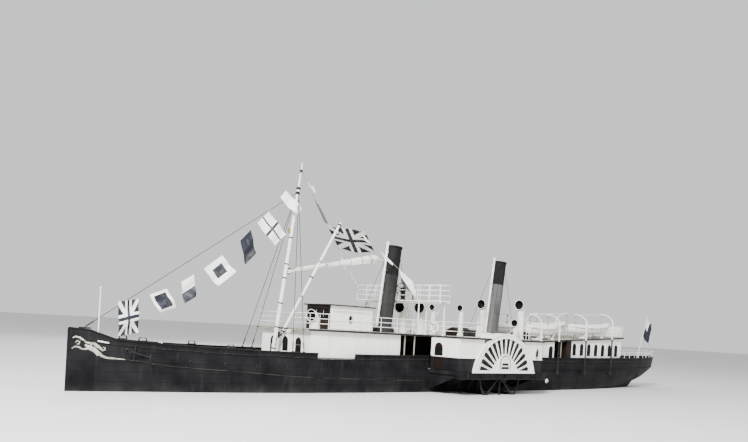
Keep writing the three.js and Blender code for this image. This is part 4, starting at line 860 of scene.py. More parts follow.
def make_paddle_boxes():
    """The boxes' mouldings, fan of slots with painted shade in and behind them, centre plate, and the trim along the
    sponsons.
    """
    rims = [half_ring(*sizes) for sizes in ((3.66, 3.56, 6.72, 6.79), (3.4, 3.32, 6.72, 6.79),
                                            (3.7, 3.6, 5.9, 6.0), (3.7, 3.6, 4.6, 4.7))]
    both_sides("paddle_box_beads", rims, FITTING_WHITE)
    middle = SPONSON_DECK - 0.35
    ribs = []
    for i in range(SLOTS - 1):
        c, s = slot_way(i + 0.5)
        ribs.append(rod((1.66 * c, 6.7, middle + 1.66 * s), (2.78 * c, 6.7, middle + 2.82 * s), 0.022, 0.05, 8))
    both_sides("vane_ribs", ribs, FITTING_WHITE)
    # dark wedges laid on the box's face over the slots, wider than the open slots: painted shade of the slots
    painted_shade_wedges = []
    for i in range(SLOTS):
        c, s = slot_way(i)
        tip = 2.96 + 0.1 * s
        edge = [(1.6, -0.07), (tip - 0.17, -0.17), (tip, 0), (tip - 0.17, 0.17), (1.6, 0.07)]
        painted_shade_wedges.append(prism("slot_painted_shade_wedge", edge, [
            lambda r, w, y=y: (c * r - s * w, y, middle + s * r + c * w) for y in (6.712, 6.69)]))
    painted_shade_wedges = edited(joined("painted_shade_wedges", painted_shade_wedges), reface)
    both_sides("slot_painted_shade_wedges", painted_shade_wedges, DARK_THROAT_AND_SLOT_SHADE)
    # a dark board inside the drum behind the slots: painted shade of the box's inside
    both_sides("slot_painted_shade_backing", half_ring(3.3, 0.6, 6.655, 6.685), DARK_THROAT_AND_SLOT_SHADE)
    # the centre plate: two arched mouldings round a carved rosette, the inner one black as a painted shadow of the
    # moulding, and two rows of sunk panels
    parts, dark = [], []
    for r, arches in ((1.22, parts), (0.98, dark)):
        run = [(-0.62 * r, PLATE_FACE, SPONSON_DECK + 0.16)]
        run += [(-0.62 * r * c, PLATE_FACE, SPONSON_DECK + 0.62 + 0.66 * r * s)
                for c, s in circle(16, turns=0.5, extra=1)]
        run += [(0.62 * r, PLATE_FACE, SPONSON_DECK + 0.16)]
        arches.append(tubes("plate_arch", [run], 0.028))
    for c, s in circle(12, 0.17):
        parts.append(rod((c * 0.3, 6.75, SPONSON_DECK + 1.0 + s * 0.3), (c, 6.75, SPONSON_DECK + 1.0 + s),
                         0.012, 0.035, 8))
    both_sides("box_plate", parts, FITTING_WHITE)
    for z, half in ((0.62, 0.38), (0.34, 0.44)):
        for k in range(3):
            x, w = -half + 2 * half * (k + 0.5) / 3, half / 3 * 0.92
            dark.append(block(x - w, x + w, 6.735, 6.765, SPONSON_DECK + z - 0.09, SPONSON_DECK + z + 0.09))
    both_sides("box_panels_and_arch_shadow", dark, BLACK_FITTINGS_AND_SHADE)
    both_sides("box_base_line", block(-3.72, 3.72, 6.69, 6.77, 1.72, 1.83, 0.02), FITTING_WHITE)
    both_sides("guard_band", block(-5.2, 5.2, 6.69, 6.76, 1.24, 1.3, 0.015), BLACK_FITTINGS_AND_SHADE)
    fenders = [block(x - 0.09, x + 0.09, 6.69, 6.77, 1.3, 1.74, 0.03) for x in (-4.6, -3.4, -1.7, 0.9, 2.5, 4.2)]
    both_sides("guard_fenders", fenders, HULL_BLACK)
    lines = [block(*sides, 2.8, 2.87) for sides in (
        (5.11, 5.16, 3.75, 6.58), (2.5, 5.15, 6.58, 6.64), (-4.75, -2.5, 6.58, 6.64))]
    both_sides("house_line", lines, FITTING_WHITE)


# ---------------------------------------------------------------- windows and doors


def arched_frame(width, sill, top, depth=0.05, bar=0.05):
    """An arched window frame lying in XZ about x = 0, its face towards +Y, with its glass."""
    half = width / 2
    spring = top - half
    inner = [(-half, sill), (half, sill)]
    inner += [(half * c, spring + half * s) for c, s in circle(12, turns=0.5, extra=1)]
    rows = []
    for x, z in inner:
        if z > spring:
            out = Vector((x, z - spring)).normalized() * bar
            xo, zo = x + out.x, z + out.y
        else:
            xo, zo = x + math.copysign(bar, x), z - bar if z == sill else z
        rows.append([(x, -depth, z), (x, 0.012, z), (x + (xo - x) * 0.3, 0.03, z + (zo - z) * 0.3),
                     (xo, 0.03, zo), (xo, 0, zo)])
    rows.append(rows[0])
    pane = shape("pane", [(x, 0.008, z) for x, z in inner], [tuple(range(len(inner)))])
    return edited(grid("window_frame", rows), outward), pane


SALOON_FORE = 16.05  # x of the fore saloon's fore wall


def aft_wall_y(x):
    """The aft saloon's side, which draws in towards the stern."""
    return 3.1 + (2.72 - 3.1) * (x + 13) / (-22.6 + 13)


def make_windows():
    """The aft saloon's arched windows, and the fore saloon's one in its fore wall."""
    frames, panes = [], []
    frame_piece, pane = arched_frame(0.62, 3.15, 4.28)
    turn = Matrix.Rotation(math.atan2(3.1 - 2.72, 9.6), 4, "Z")
    for i in range(7):
        x = -14.2 - 1.23 * i
        place = Matrix.Translation((x, aft_wall_y(x), 0)) @ turn
        frames.append(copied(frame_piece, place))
        panes.append(copied(pane, place))
    bpy.data.objects.remove(frame_piece)
    bpy.data.objects.remove(pane)
    both_sides("saloon_frames", frames, FITTING_WHITE)
    both_sides("saloon_panes", panes, GLASS)
    # the fore window between the two doors, in the fore wall of the saloon
    frame_piece, pane = arched_frame(0.7, 2.7, 3.75)
    ahead = Matrix.Translation((SALOON_FORE, 0, 0)) @ Matrix.Rotation(-math.pi / 2, 4, "Z")
    fitted("fore_window_frame", moved(frame_piece, ahead), FITTING_WHITE)
    fitted("fore_window_pane", moved(pane, ahead), GLASS)


def oval_port(place, width, height):
    """An oval light with a moulded rim and dark glass, facing +Y."""
    around = circle(28)
    rows = [[(r * width * c, d, r * height * s) for c, s in around]
            for r, d in ((1.0, -0.06), (1.0, 0.015), (1.1, 0.035), (1.25, 0.03), (1.28, 0.0))]
    rim = edited(grid("oval", rows, closed=True), outward)
    pane = shape("pane", [(width * c, -0.045, height * s) for c, s in around], [tuple(range(28))])
    return [moved(piece, Matrix.Translation(place)) for piece in (rim, pane)]


def make_ports():
    """Oval lights in the sponson houses and the charthouse, and the charthouse's fore windows."""
    ports = [oval_port((-4.1, 6.6, 3.3), 0.19, 0.34), oval_port((11.35, 1.4, 5.2), 0.16, 0.26)]
    both_sides("oval_rims", [rim for rim, _ in ports], ORNAMENT)
    both_sides("oval_panes", [pane for _, pane in ports], GLASS)
    frames, panes = [], []
    for y in (-0.85, 0, 0.85):
        panes.append(block(13.2, 13.24, y - 0.28, y + 0.28, 5.3, 5.85, 0))
        for lo, hi, z0, z1 in ((-0.34, -0.27, 5.24, 5.91), (0.27, 0.34, 5.24, 5.91),
                               (-0.34, 0.34, 5.84, 5.91), (-0.36, 0.36, 5.22, 5.3)):
            frames.append(block(13.27, 13.35, y + lo, y + hi, z0, z1, 0.008))
    fitted("chart_window_frames", frames, JOINERY_AND_PASSAGE_SHADE)
    fitted("chart_window_panes", panes, GLASS)


def panelled_door(node, face, width, sill, top, centre, out, along_x=False):
    """Raised panels and a glazed light laid on a door's outer face, on the door's own body."""
    half = width / 2 - 0.09

    def panel(u0, u1, v0, v1):
        across = sorted((centre + u0, centre + u1))
        deep = sorted((face - 0.004 * out, face + 0.022 * out))
        return block(*(across + deep if along_x else deep + across), v0, v1, 0.012)

    parts = [panel(-half, -0.03, sill + 0.12, sill + 0.75), panel(0.03, half, sill + 0.12, sill + 0.75),
             panel(-half, half, sill + 0.82, sill + 0.95)]
    fitted(f"{node}_panels", parts, JOINERY_AND_PASSAGE_SHADE, body=node)
    pane = panel(-half * 0.8, half * 0.8, sill + 1.05, top - width / 2 + 0.05)
    fitted(f"{node}_light", pane, GLASS, body=node)


CHART_SIDE = 1.4  # y of the charthouse's side


def make_doors():
    """The doors' panels and lights, and the charthouse's mouldings, grab rail and roof edge."""
    for side, s in SIDES:
        panelled_door(f"fore_saloon_door_{side}", SALOON_FORE, 0.69, 1.8, 3.73, s * 1.56, 1)
        panelled_door(f"aft_entrance_door_{side}", s * 3.17, 0.63, 1.86, 3.93, -10.486, s, along_x=True)
        panelled_door(f"sponson_door_{side}", 5.09, 0.87, 1.86, 3.86, s * 4.436, 1)
    mouldings = [block(x - 0.02, x + 0.02, CHART_SIDE, 1.425, 4.45, 6.05, 0.006) for x in (9.5, 10.8, 12.1, 13.0)]
    mouldings += [block(9.3, 13.3, CHART_SIDE, 1.43, *levels, 0.006) for levels in ((4.42, 4.5), (5.02, 5.06))]
    both_sides("chart_mouldings", mouldings, FITTING_WHITE)
    grab = [(9.6, 1.43, 5.72), (9.6, 1.48, 5.74), (13.0, 1.48, 5.74), (13.0, 1.43, 5.72)]
    both_sides("chart_grab_rail", tubes("grab", [grab], 0.018), BRASS)
    edge = [(9.12, 1.57, 6.16), (13.46, 1.57, 6.16), (13.46, -1.57, 6.16), (9.12, -1.57, 6.16)]
    fitted("chart_roof_edge", tubes("edge", [edge], 0.045, closed=True), JOINERY_AND_PASSAGE_SHADE)


EDGE_Z = promenade_z(0) - 0.07  # the promenade deck's edge moulding, where the deck is level


def make_walls():
    """The saloons' cover strips and plinth, and the moulding along the promenade deck's edge."""
    strips = [block(x - 0.025, x + 0.025, 3.0, 3.022, 1.85, 4.2, 0.006)
              for x in (8.6, 9.8, 11.0, 12.2, 13.4, 14.6, 15.6)]
    strips.append(block(7.75, SALOON_FORE, 3.0, 3.03, 1.76, 1.95, 0.008))
    for x in [-13.5 - 1.23 * i for i in range(1, 8)]:
        y = aft_wall_y(x)
        strips.append(block(x - 0.03, x + 0.03, y - 0.01, y + 0.02, 2.2, 4.5, 0.006))
    both_sides("wall_strips", strips, FITTING_WHITE)
    edges = []
    for fore, aft in ((16.4, 5.2), (-4.8, -22.7)):
        xs = [fore + (aft - fore) * k / 16 for k in range(17)]
        edges.append([(x, promenade_y(x) + 0.01, promenade_z(x) - 0.07) for x in xs])
    for wing in ([(5.17, 3.25), (5.17, 6.76), (1.75, 6.76)], [(-1.75, 6.76), (-4.77, 6.76), (-4.77, 3.35)]):
        edges.append([(x, y, EDGE_Z) for x, y in wing])
    both_sides("promenade_edge", tubes("edge", edges, 0.06), BLACK_FITTINGS_AND_SHADE)
    ends = [[(16.36, s * 3.2, EDGE_Z, 0.045) for s in (-1, 1)], [(-22.72, s * 2.9, 5.03) for s in (-1, 1)]]
    fitted("promenade_ends", tubes("ends", ends, 0.06), BLACK_FITTINGS_AND_SHADE)


# ---------------------------------------------------------------- funnels and ventilators

FUNNEL_RAKE = math.radians(-6)
FUNNEL_R = 0.6
FUNNEL_TOP = 11.2
WHISTLE = [(0.03, 0), (0.03, 0.2), (0.07, 0.22), (0.07, 0.3), (0.055, 0.32), (0.055, 0.56), (0.065, 0.58),
           (0.03, 0.66), (0, 0.67)]


def make_funnel(node, x, black_from, grey):
    """A raked stack with its bands, rivets, steam pipe and guys; the fore one has the whistle."""
    base = promenade_z(x)
    top = FUNNEL_TOP - base
    place = Matrix.Translation((x, 0, base)) @ Matrix.Rotation(FUNNEL_RAKE, 4, "Y")
    profile = [(0.84, -0.02), (0.85, 0.3), (0.83, 0.34), (0.72, 0.42), (0.64, 0.5), (FUNNEL_R, 0.62)]
    bands = [2.2, 3.7, black_from]
    for z in bands:
        profile += [(FUNNEL_R + dr, z + dz) for dr, dz in ((0, -0.04), (0.018, -0.03), (0.018, 0.05), (0, 0.06))]
    profile += [(FUNNEL_R + dr, top + dz) for dr, dz in (
        (0, -0.16), (0.05, -0.11), (0.06, -0.04), (0.04, 0), (-0.05, 0), (-0.06, -0.1), (-0.06, -2.4))]
    stack = turned("stack", profile + [(0, top - 2.4)], steps=48)
    tint(stack, grey, FUNNEL_BLACK, DARK_THROAT_AND_SLOT_SHADE, choose=lambda c: (
        2 if Vector((c.x, c.y)).length < FUNNEL_R - 0.03 and c.z > 1 else 1 if c.z > black_from else 0))
    points, faces = [], []
    up = Vector((0, 0, 0.016))
    for z in bands:
        for c, s in circle(36):
            out, side = Vector((c, s, 0)), Vector((-s, c, 0)) * 0.016
            p = out * (FUNNEL_R + 0.02) + Vector((0, 0, z + 0.01))
            n = len(points)
            points += [p + side, p + up, p - side, p - up, p + out * 0.014]
            faces += [(n + i, n + (i + 1) % 4, n + 4) for i in range(4)]
    rivets = tint(shape("rivets", points, faces), grey)
    fitted(f"{node}_stack", moved(joined("stack", [stack, rivets]), place), None, replaces=[node])
    pipe_x = FUNNEL_R + 0.14
    profile = [(0.1, 0.05), (0.1, 2.1), (0.12, 2.12), (0.12, 2.24), (0.1, 2.26), (0.1, 4.4), (0.12, 4.42),
               (0.12, 4.54), (0.1, 4.56), (0.1, top + 0.02), (0.125, top + 0.06), (0.125, top + 0.16),
               (0.08, top + 0.2), (0.06, top + 0.23), (0.0, top + 0.1)]
    pipe = [turned("pipe", profile, (pipe_x, 0, 0), steps=20)]
    pipe += [block(FUNNEL_R - 0.02, pipe_x, -0.05, 0.05, h, h + 0.08) for h in (1.2, 3.0, 4.8, 6.2)]
    fitted(f"{node}_steam_pipe", moved(joined("pipe", pipe), place), FITTING_WHITE)
    if node == "funnel_fore":
        whistle = [turned("whistle", WHISTLE, (pipe_x + 0.14, 0, 4.9), steps=20),
                   rod((pipe_x, 0, 4.88), (pipe_x + 0.14, 0, 4.9), 0.03)]
        fitted("steam_whistle", moved(joined("whistle", whistle), place), BRASS)
    guys, screws = [], []
    for dx, y in ((1.6, 1.5), (-1.6, 1.5), (1.6, -1.5), (-1.6, -1.5)):
        head = place @ Vector((math.copysign(0.42, dx), math.copysign(0.45, y), top - 1.0))
        foot = Vector((x + dx, y, promenade_z(x + dx) + 0.01))
        along_guy = (head - foot).normalized()
        guys.append([head, foot])
        screws.append(rod(foot + along_guy * 0.12, foot + along_guy * 0.42, 0.032, sides=8))
    fitted(f"{node}_guys", [tubes("guys", guys, 0.016, 6), *screws], BLACK_FITTINGS_AND_SHADE)


# columns: node, x and y of the trunk, height of the mouth's middle, radius of the mouth
COWL_PAIRS = [
    ("cowl_large_fore", 3.8, 1.15, 6.5, 0.46),
    ("cowl_small_fore", -0.2, 1.62, 6.7, 0.26),
    ("cowl_large_aft", -7.22, 2.2, 7.38, 0.41),
]
COWLS = [(f"{node}_{side}", x, s * y, z, r) for node, x, y, z, r in COWL_PAIRS for side, s in SIDES]
COWLS += [("cowl_charthouse", 15.3, 2.35, 5.3, 0.4), ("cowl_low_aft", -5.7, 2.95, 5.75, 0.3)]
COWL_TURN = math.radians(12)


def cowl(x, y, mouth, r):
    """A bell-mouthed cowl: trunk, swept neck, rolled lip and a dark throat."""
    deck, trunk, neck = promenade_z(x), 0.72 * r, mouth - r
    half = (deck + neck) / 2
    around = circle(28)

    def ring(cx, cz, radius, phi=0.0):
        return [(cx - radius * c * math.cos(phi), y + radius * s, cz + radius * c * math.sin(phi)) for c, s in around]

    def swept(share, scale=1.0):
        phi = math.pi / 2 * share
        radius = (trunk + (0.98 * r - trunk) * share ** 1.25) * scale
        return ring(x + r * (1 - math.cos(phi)), neck + r * math.sin(phi), radius, phi)

    rows = [ring(x, deck + dz, trunk + extra)
            for dz, extra in ((-0.12, 0.07), (0.16, 0.07), (0.2, 0.03), (0.22, 0))]
    rows += [ring(x, half + dz, trunk + extra)
             for dz, extra in ((-0.03, 0), (-0.02, 0.018), (0.02, 0.018), (0.03, 0))]
    rows.append(ring(x, neck - 0.01, trunk))
    bends = [i / 9 for i in range(1, 10)]
    rows += [swept(share) for share in bends]
    lip = ((0.02, 1.03), (0.035, 1.075), (0.055, 1.09), (0.07, 1.07), (0.065, 1.02), (0.04, 0.97))
    rows += [ring(x + r + dx * r * 2.2, mouth, radius * r, math.pi / 2) for dx, radius in lip]
    throat_from = (len(rows) - 1) * len(around)
    rows += [swept(share, 0.94) for share in reversed(bends)]
    rows += [ring(x, neck - 0.3, trunk * 0.92), ring(x, neck - 0.31, trunk * 0.02)]
    bell = tint(grid("bell", rows, closed=True), FITTING_WHITE, DARK_THROAT_AND_SLOT_SHADE)
    for index, face in enumerate(bell.data.polygons):
        face.material_index = int(index >= throat_from)
    edited(bell, reface)
    handles = []
    for s in (-1, 1):
        side = y + s * trunk
        handles.append([(x, side, half + 0.3), (x, side + s * 0.07, half + 0.3),
                        (x, side + s * 0.07, half + 0.46), (x, side, half + 0.46)])
    grips = tint(tubes("handles", handles, 0.012, 6), FITTING_WHITE)
    axis = Matrix.Translation((x, y, 0))
    return moved(joined("cowl", [bell, grips]), axis @ Matrix.Rotation(COWL_TURN, 4, "Z") @ axis.inverted())


def make_cowls():
    for node, *sizes in COWLS:
        fitted(f"{node}_bell", cowl(*sizes), None, replaces=[node])


# ---------------------------------------------------------------- rails and bridge

PROMENADE_RAIL = ([0.38, 0.72, 1.07], 1.6, 0.022)  # heights of the bars, spacing of the stanchions, radius
WING_RAIL_Y = 6.6


def rail_run(points, base, heights, spacing, radius):
    """Stanchions with ball knuckles and rails through them, on a base that may slope."""
    bars, balls = [], []
    for (x0, y0), (x1, y1) in zip(points, points[1:]):
        bays = max(1, round(math.hypot(x1 - x0, y1 - y0) / spacing))
        for k in range(bays + 1):
            x, y = x0 + (x1 - x0) * k / bays, y0 + (y1 - y0) * k / bays
            bars.append([(x, y, base(x)), (x, y, base(x) + heights[-1])])
            balls += [(x, y, base(x) + height) for height in (*heights, 0.06)]
    bars += [[(x, y, base(x) + height) for x, y in points] for height in heights]
    corners, faces = [], []
    r = radius * 1.6
    for x, y, z in balls:
        n = len(corners)
        for dz, ring in ((-0.8, 0.6), (0.0, 1.0), (0.8, 0.6)):
            corners += [(x + r * ring * c, y + r * ring * s, z + r * dz) for c, s in circle(8)]
        for row in (n, n + 8):
            faces += [(row + k, row + (k + 1) % 8, row + 8 + (k + 1) % 8, row + 8 + k) for k in range(8)]
        faces += [tuple(n + 16 + k for k in range(8)), tuple(n + 7 - k for k in range(8))]
    return joined("rails", [tubes("bars", bars, radius), shape("balls", corners, faces)])


def make_rails():
    """The rails round the promenade deck and the stern."""
    def beside(x, inset=0.06):
        return (x, promenade_y(x) - inset)

    fore = [(14.4, 0), (14.4, 1.7), (16.32, 1.7), (16.32, 3.14), (5.07, 3.14), (5.07, WING_RAIL_Y), (2.9, WING_RAIL_Y)]
    middle = [(-2.9, WING_RAIL_Y), (-4.65, WING_RAIL_Y), beside(-4.65), beside(-5.4)]
    aft = [beside(-20.2), beside(-22.6), (-22.6, 0)]
    stern = [(x, side_y(x, rail_z(x)) - 0.03) for x in (-22.9, -25.1, -27.2, -29.2, -31.1, -32.1)] + [(-32.55, 0)]
    for name, *run in (("promenade_rail_fore", fore, promenade_z, *PROMENADE_RAIL),
                       ("promenade_rail_aft", aft, promenade_z, *PROMENADE_RAIL),
                       ("stern_rail", stern, rail_z, [0.3, 0.58], 1.2, 0.022)):
        port = rail_run(*run)
        fitted(f"{name}_bars", [port, starboard(port, "other")], FITTING_WHITE, replaces=[name])
    both_sides("promenade_rail_middle_bars", rail_run(middle, promenade_z, *PROMENADE_RAIL), FITTING_WHITE,
               replaces="promenade_rail_middle")


BRIDGE_FLOOR = 7.0
BRIDGE_POST = [(0, 0), (0.11, 0), (0.11, 0.04), (0.065, 0.08), (0.055, 0.3), (0.05, 2.4), (0.07, 2.46), (0.07, 2.52),
               (0, 2.53)]
PEDESTAL = [(0, 0), (0.2, 0), (0.2, 0.05), (0.13, 0.1), (0.11, 0.6), (0.15, 0.7), (0.16, 0.85), (0.1, 0.95), (0, 0.97)]
HUB = [(0, -0.22), (0.05, -0.22), (0.05, -0.04), (0.08, -0.03), (0.08, 0.03), (0.04, 0.05), (0, 0.055)]
SPOKE = ((0.05, 0.02), (0.2, 0.026), (0.3, 0.017), (0.42, 0.02), (0.5, 0.015), (0.55, 0.024), (0.6, 0.016))
TELEGRAPH = [(0, 0), (0.14, 0), (0.13, 0.04), (0.06, 0.1), (0.05, 0.72), (0.07, 0.76)]
DIAL = [(0, -0.07), (0.15, -0.07), (0.17, -0.05), (0.17, 0.05), (0.15, 0.07), (0, 0.07)]
BINNACLE = [(0, 0), (0.2, 0), (0.19, 0.05), (0.12, 0.12), (0.11, 0.6), (0.17, 0.72), (0.17, 0.86), (0.13, 0.98),
            (0.05, 1.04), (0, 1.05)]


def make_bridge():
    """The open bridge: platform, posts, rails and ladder, with the wheel, telegraphs and binnacle."""
    floor, deck = BRIDGE_FLOOR, promenade_z(5)
    aft, fore, half = 4.6, 5.72, 4.9
    foot, heights = floor - 0.03, [0.42, 0.82, 1.2]
    front_x, end_y = fore - 0.04, half - 0.04
    parts = [block(aft, fore, -half, half, floor - 0.1, floor - 0.01, 0.015)]
    parts += [block(x - 0.04, x + 0.04, -half + 0.02, half - 0.02, floor - 0.22, floor - 0.09) for x in (4.75, 5.57)]
    corners = [(aft + 0.04, 0.55), (aft + 0.04, end_y), (front_x, end_y)]
    rails = rail_run(corners, lambda x: foot, heights, 1.1, 0.026)
    front = [[(front_x, y, foot + h) for y in (-end_y, end_y)] for h in heights]
    front += [[(front_x, -end_y + 2 * end_y * k / 8, foot + h) for h in (0, heights[-1])] for k in range(1, 8)]
    parts += [rails, starboard(rails, "other"), tubes("front", front, 0.026)]
    for s in (-1, 1):
        parts += [turned("post", BRIDGE_POST, (x, s * y, deck), steps=16)
                  for x, y in ((4.9, 4.6), (4.9, 2.7), (5.75, 2.7))]
        parts.append(rod((4.9, s * 2.7, deck + 0.4), (4.9, s * 4.6, floor - 0.15), 0.035))
        knee = [(4.9, s * 4.05, floor - 0.12), (4.9, s * 4.35, floor - 0.2), (4.9, s * 4.55, floor - 0.5)]
        stile = [(3.5, s * 0.28, deck), (4.7, s * 0.28, floor - 0.02), (4.66, s * 0.28, floor - 0.02)]
        hand = [(3.3, s * 0.3, deck + 0.02), (3.25, s * 0.3, deck + 0.75), (4.45, s * 0.3, floor + 0.75),
                (4.64, s * 0.5, floor + 0.8)]
        parts += [tubes("bar", [run], radius) for run, radius in ((knee, 0.025), (stile, 0.04), (hand, 0.02))]
    for i in range(1, 9):
        x, z = 3.5 + 1.2 * i / 9, deck + (floor - deck) * i / 9
        parts.append(block(x - 0.1, x + 0.1, -0.28, 0.28, z - 0.02, z + 0.015, 0.008))
    fitted("bridge_frame", parts, FITTING_WHITE, replaces=["bridge"])
    planks = block(aft + 0.03, fore - 0.03, -half + 0.03, half - 0.03, floor - 0.02, floor, 0.004)
    fitted("bridge_planks", planks, DECK)
    axle = (5.265, 0, floor + 0.85)
    spokes = [[(axle[0], r * c, axle[2] + r * s, w) for r, w in SPOKE] for c, s in circle(8)]
    wheel = [turned("pedestal", PEDESTAL, (5.05, 0, floor), steps=20),
             turned("rim", [(0.445 + 0.035 * c, 0.028 * s) for c, s in circle(10, extra=1)], axle, (1, 0, 0), 36),
             tubes("spokes", spokes, 0.026), turned("hub", HUB, axle, (1, 0, 0), 20)]
    fitted("steering_wheel", wheel, JOINERY_AND_PASSAGE_SHADE)
    stands = []
    for y in (1.6, -1.6):
        stands += [turned("telegraph", TELEGRAPH, (5.4, y, floor), steps=20),
                   turned("dial", DIAL, (5.4, y, floor + 0.9), (0, 1, 0), 24),
                   rod((5.4, y, floor + 0.9), (5.28, y, floor + 1.14), 0.014)]
    fitted("telegraphs", stands, BRASS)
    fitted("binnacle", turned("binnacle", BINNACLE, (5.48, 0.62, floor), steps=24), JOINERY_AND_PASSAGE_SHADE)


# ---------------------------------------------------------------- boats and davits


def mirrored(run):
    """A run of points and the same one on the other side."""
    return [run, [(x, -y, z) for x, y, z in run]]


def eased(count):
    """Shares from -1 to 1 that lie closer together towards both ends."""
    return [math.sin(math.pi * (i / count - 0.5)) for i in range(count + 1)]


def boat_beam(half):
    return 0.32 + 0.2 * half


def boat_station(share, half):
    """A lifeboat's half breadth, and how far its keel and its gunwale rise there."""
    return boat_beam(half) * (1 - abs(share) ** 2.3) + 0.03, 0.4 * abs(share) ** 3, 0.2 * share * share


def boat_hull(half):
    """A clinker-built lifeboat: each strake laps over the one below it."""
    strakes = 7
    rows = []
    for share in eased(24):
        beam, rocker, sheer = boat_station(share, half)
        port = []
        for k in range(strakes):
            for edge, lap in ((0, 0.014), (1, 0.0)):
                t = (k + edge) / strakes
                y = beam * min(1, (0.02 + math.sin(t * math.pi / 2) ** 0.8)) + lap
                z = rocker + (0.76 + sheer - rocker) * (0.08 * t + 0.92 * t ** 1.7)
                port.append((share * half, max(0.012, y if beam > 0.06 else min(y, beam)), z))
        rows.append([(x, -y, z) for x, y, z in reversed(port)] + port)
    return thickened(edited(grid("boat", rows), reface), 0.03, -1)


def boat_line(half, height, proud):
    points = []
    for share in eased(24):
        beam, _, sheer = boat_station(share, half)
        points.append((share * half, beam + proud, height + sheer))
    return points


def boat_cover(half):
    """A cover stretched over a ridge rope and lashed below the gunwale."""
    rows = []
    for share in [0.985 * each for each in eased(36)]:
        beam, _, sheer = boat_station(share, half)
        beam += 0.065
        crown = 0.93 + sheer * 0.8 - 0.025 * math.cos(share * 9 * math.pi) * (1 - abs(share))
        scallop = 0.03 * math.cos(share * half * math.tau * 1.6)
        row = []
        for t in [-1 + k / 8 for k in range(17)]:
            inner = min(1.0, abs(t) / 0.8)
            y = math.copysign(beam * inner, t) if t else 0
            z = crown + (0.82 + sheer - crown) * inner ** 1.3
            if abs(t) > 0.8:
                z -= (abs(t) - 0.8) / 0.2 * (0.2 + scallop)
                y = math.copysign(beam + 0.004, t)
            row.append((share * (half + 0.04), y, z))
        rows.append(row)
    return thickened(edited(grid("cover", rows), reface), 0.008, 1)


def make_boat(name, middle, half, side, s):
    """A lifeboat on its chocks, with its life-lines and its cover."""
    tilt = math.atan((promenade_z(middle + 2) - promenade_z(middle - 2)) / 4)
    place = Matrix.Translation((middle, s * 2.5, promenade_z(middle) + 0.38)) @ Matrix.Rotation(-tilt, 4, "Y")
    keel = [(share * half, 0, max(0.03, 0.4 * abs(share) ** 3)) for share in [-0.98 + 1.96 * i / 18 for i in range(19)]]
    ends = [[(e * (half - 0.1), 0, 0.34), (e * half, 0, 0.6), (e * (half + 0.02), 0, 1.02)] for e in (-1, 1)]
    wood = [boat_hull(half), tubes("gunwales", mirrored(boat_line(half, 0.77, 0.01)), 0.045),
            tubes("bands", mirrored(boat_line(half, 0.6, 0.012)), 0.02, 6), tubes("keel", [keel, *ends], 0.04)]
    for x in (-0.44 * half, 0.44 * half):
        arms = mirrored([(x, 0.12, -0.22), (x, 0.42, -0.16), (x, 0.66, 0.16)])
        wood += [block(x - 0.08, x + 0.08, -0.6, 0.6, -0.34, -0.2, 0.015), tubes("chock", arms, 0.06, 6)]
        wood += [block(x - 0.06, x + 0.06, y - 0.06, y + 0.06, -0.42, -0.2) for y in (-0.5, 0.5)]
    boat = fitted(f"boat_{name}_{side}", moved(joined("boat", wood), place), FITTING_WHITE,
                  replaces=[f"lifeboat_{name}_{side}"])
    life_line = []
    bights = math.floor(5 * half)
    for k in range(bights):
        for part in range(5):
            share = 0.82 * (2 * (k + part / 4) / bights - 1)
            beam, _, sheer = boat_station(share, half)
            life_line.append((share * half, beam + 0.03, 0.62 + sheer - 0.09 * math.sin(math.pi * part / 4)))
    lines = moved(tubes("life_lines", mirrored(life_line), 0.012, 6), place)
    fitted(f"boat_lines_{name}_{side}", lines, ROPE)
    cover = fitted(f"boat_cover_{name}_{side}", moved(boat_cover(half), place), CANVAS, smooth=50)


DAVIT_REACH = 1.3
SHOE = [(0, -0.1), (0.11, -0.1), (0.12, -0.06), (0.12, 0.1), (0.085, 0.14), (0, 0.14)]
COLLAR = [(0.07, -0.05), (0.1, -0.05), (0.1, 0.05), (0.07, 0.05)]
SHEAVE = [(0, -0.05), (0.09, -0.05), (0.1, -0.03), (0.1, 0.03), (0.09, 0.05), (0, 0.05)]


def make_davits(name, xs):
    """A pair of davits on the ship's side, with the span between their heads and their falls."""
    arms, tackles, heads = [], [], []
    for x in xs:
        y, foot, top = side_y(x, rail_z(x)) + 0.13, 1.5, 6.65 + promenade_z(x) - promenade_z(-9)
        run = [(x, y, foot + 0.02, 0.075), (x, y, foot + 1.4, 0.07), (x, y, promenade_z(x) - 0.1, 0.068)]
        run += [(x, y - DAVIT_REACH * (1 - c), top - 0.95 + 0.95 * s, 0.066 - 0.022 * k / 12)
                for k, (c, s) in enumerate(circle(12, turns=0.25, extra=1))]
        inner = y - DAVIT_REACH
        heads.append(Vector((x, inner, top)))
        arms += [tubes("arm", [run], 0.075, 12), ball(0.085, heads[-1], 16),
                 turned("shoe", SHOE, (x, y, foot), steps=16),
                 block(x - 0.1, x + 0.1, side_y(x, foot) - 0.02, y, foot - 0.08, foot + 0.1, 0.02),
                 turned("collar", COLLAR, (x, y, sheer_z(x)), steps=16)]
        upper, lower = top - 0.2, promenade_z(x) + 1.45
        tackles += [turned("sheave", SHEAVE, (x, inner, z), (1, 0, 0), 16) for z in (upper, lower)]
        falls = [[(x, inner + dy, upper), (x, inner + dy, lower)] for dy in (-0.05, 0.0, 0.05)]
        hook = [(x, inner, lower - 0.05), (x, inner, lower - 0.25)]
        tackles += [tubes("falls", falls, 0.011, 6), tubes("hook", [hook], 0.02, 6)]
    span = [heads[0].lerp(heads[1], k / 8) - Vector((0, 0, 0.02)) for k in range(9)]
    arms.append(tubes("span", [span], 0.022))
    arms = tint(arms, FITTING_WHITE, BLACK_FITTINGS_AND_SHADE,
                choose=lambda c: int(c.z < promenade_z(c.x) - 0.1))
    both_sides(f"davit_arms_{name}", arms, None, replaces=f"davits_{name}")
    both_sides(f"davit_falls_{name}", tackles, ROPE)


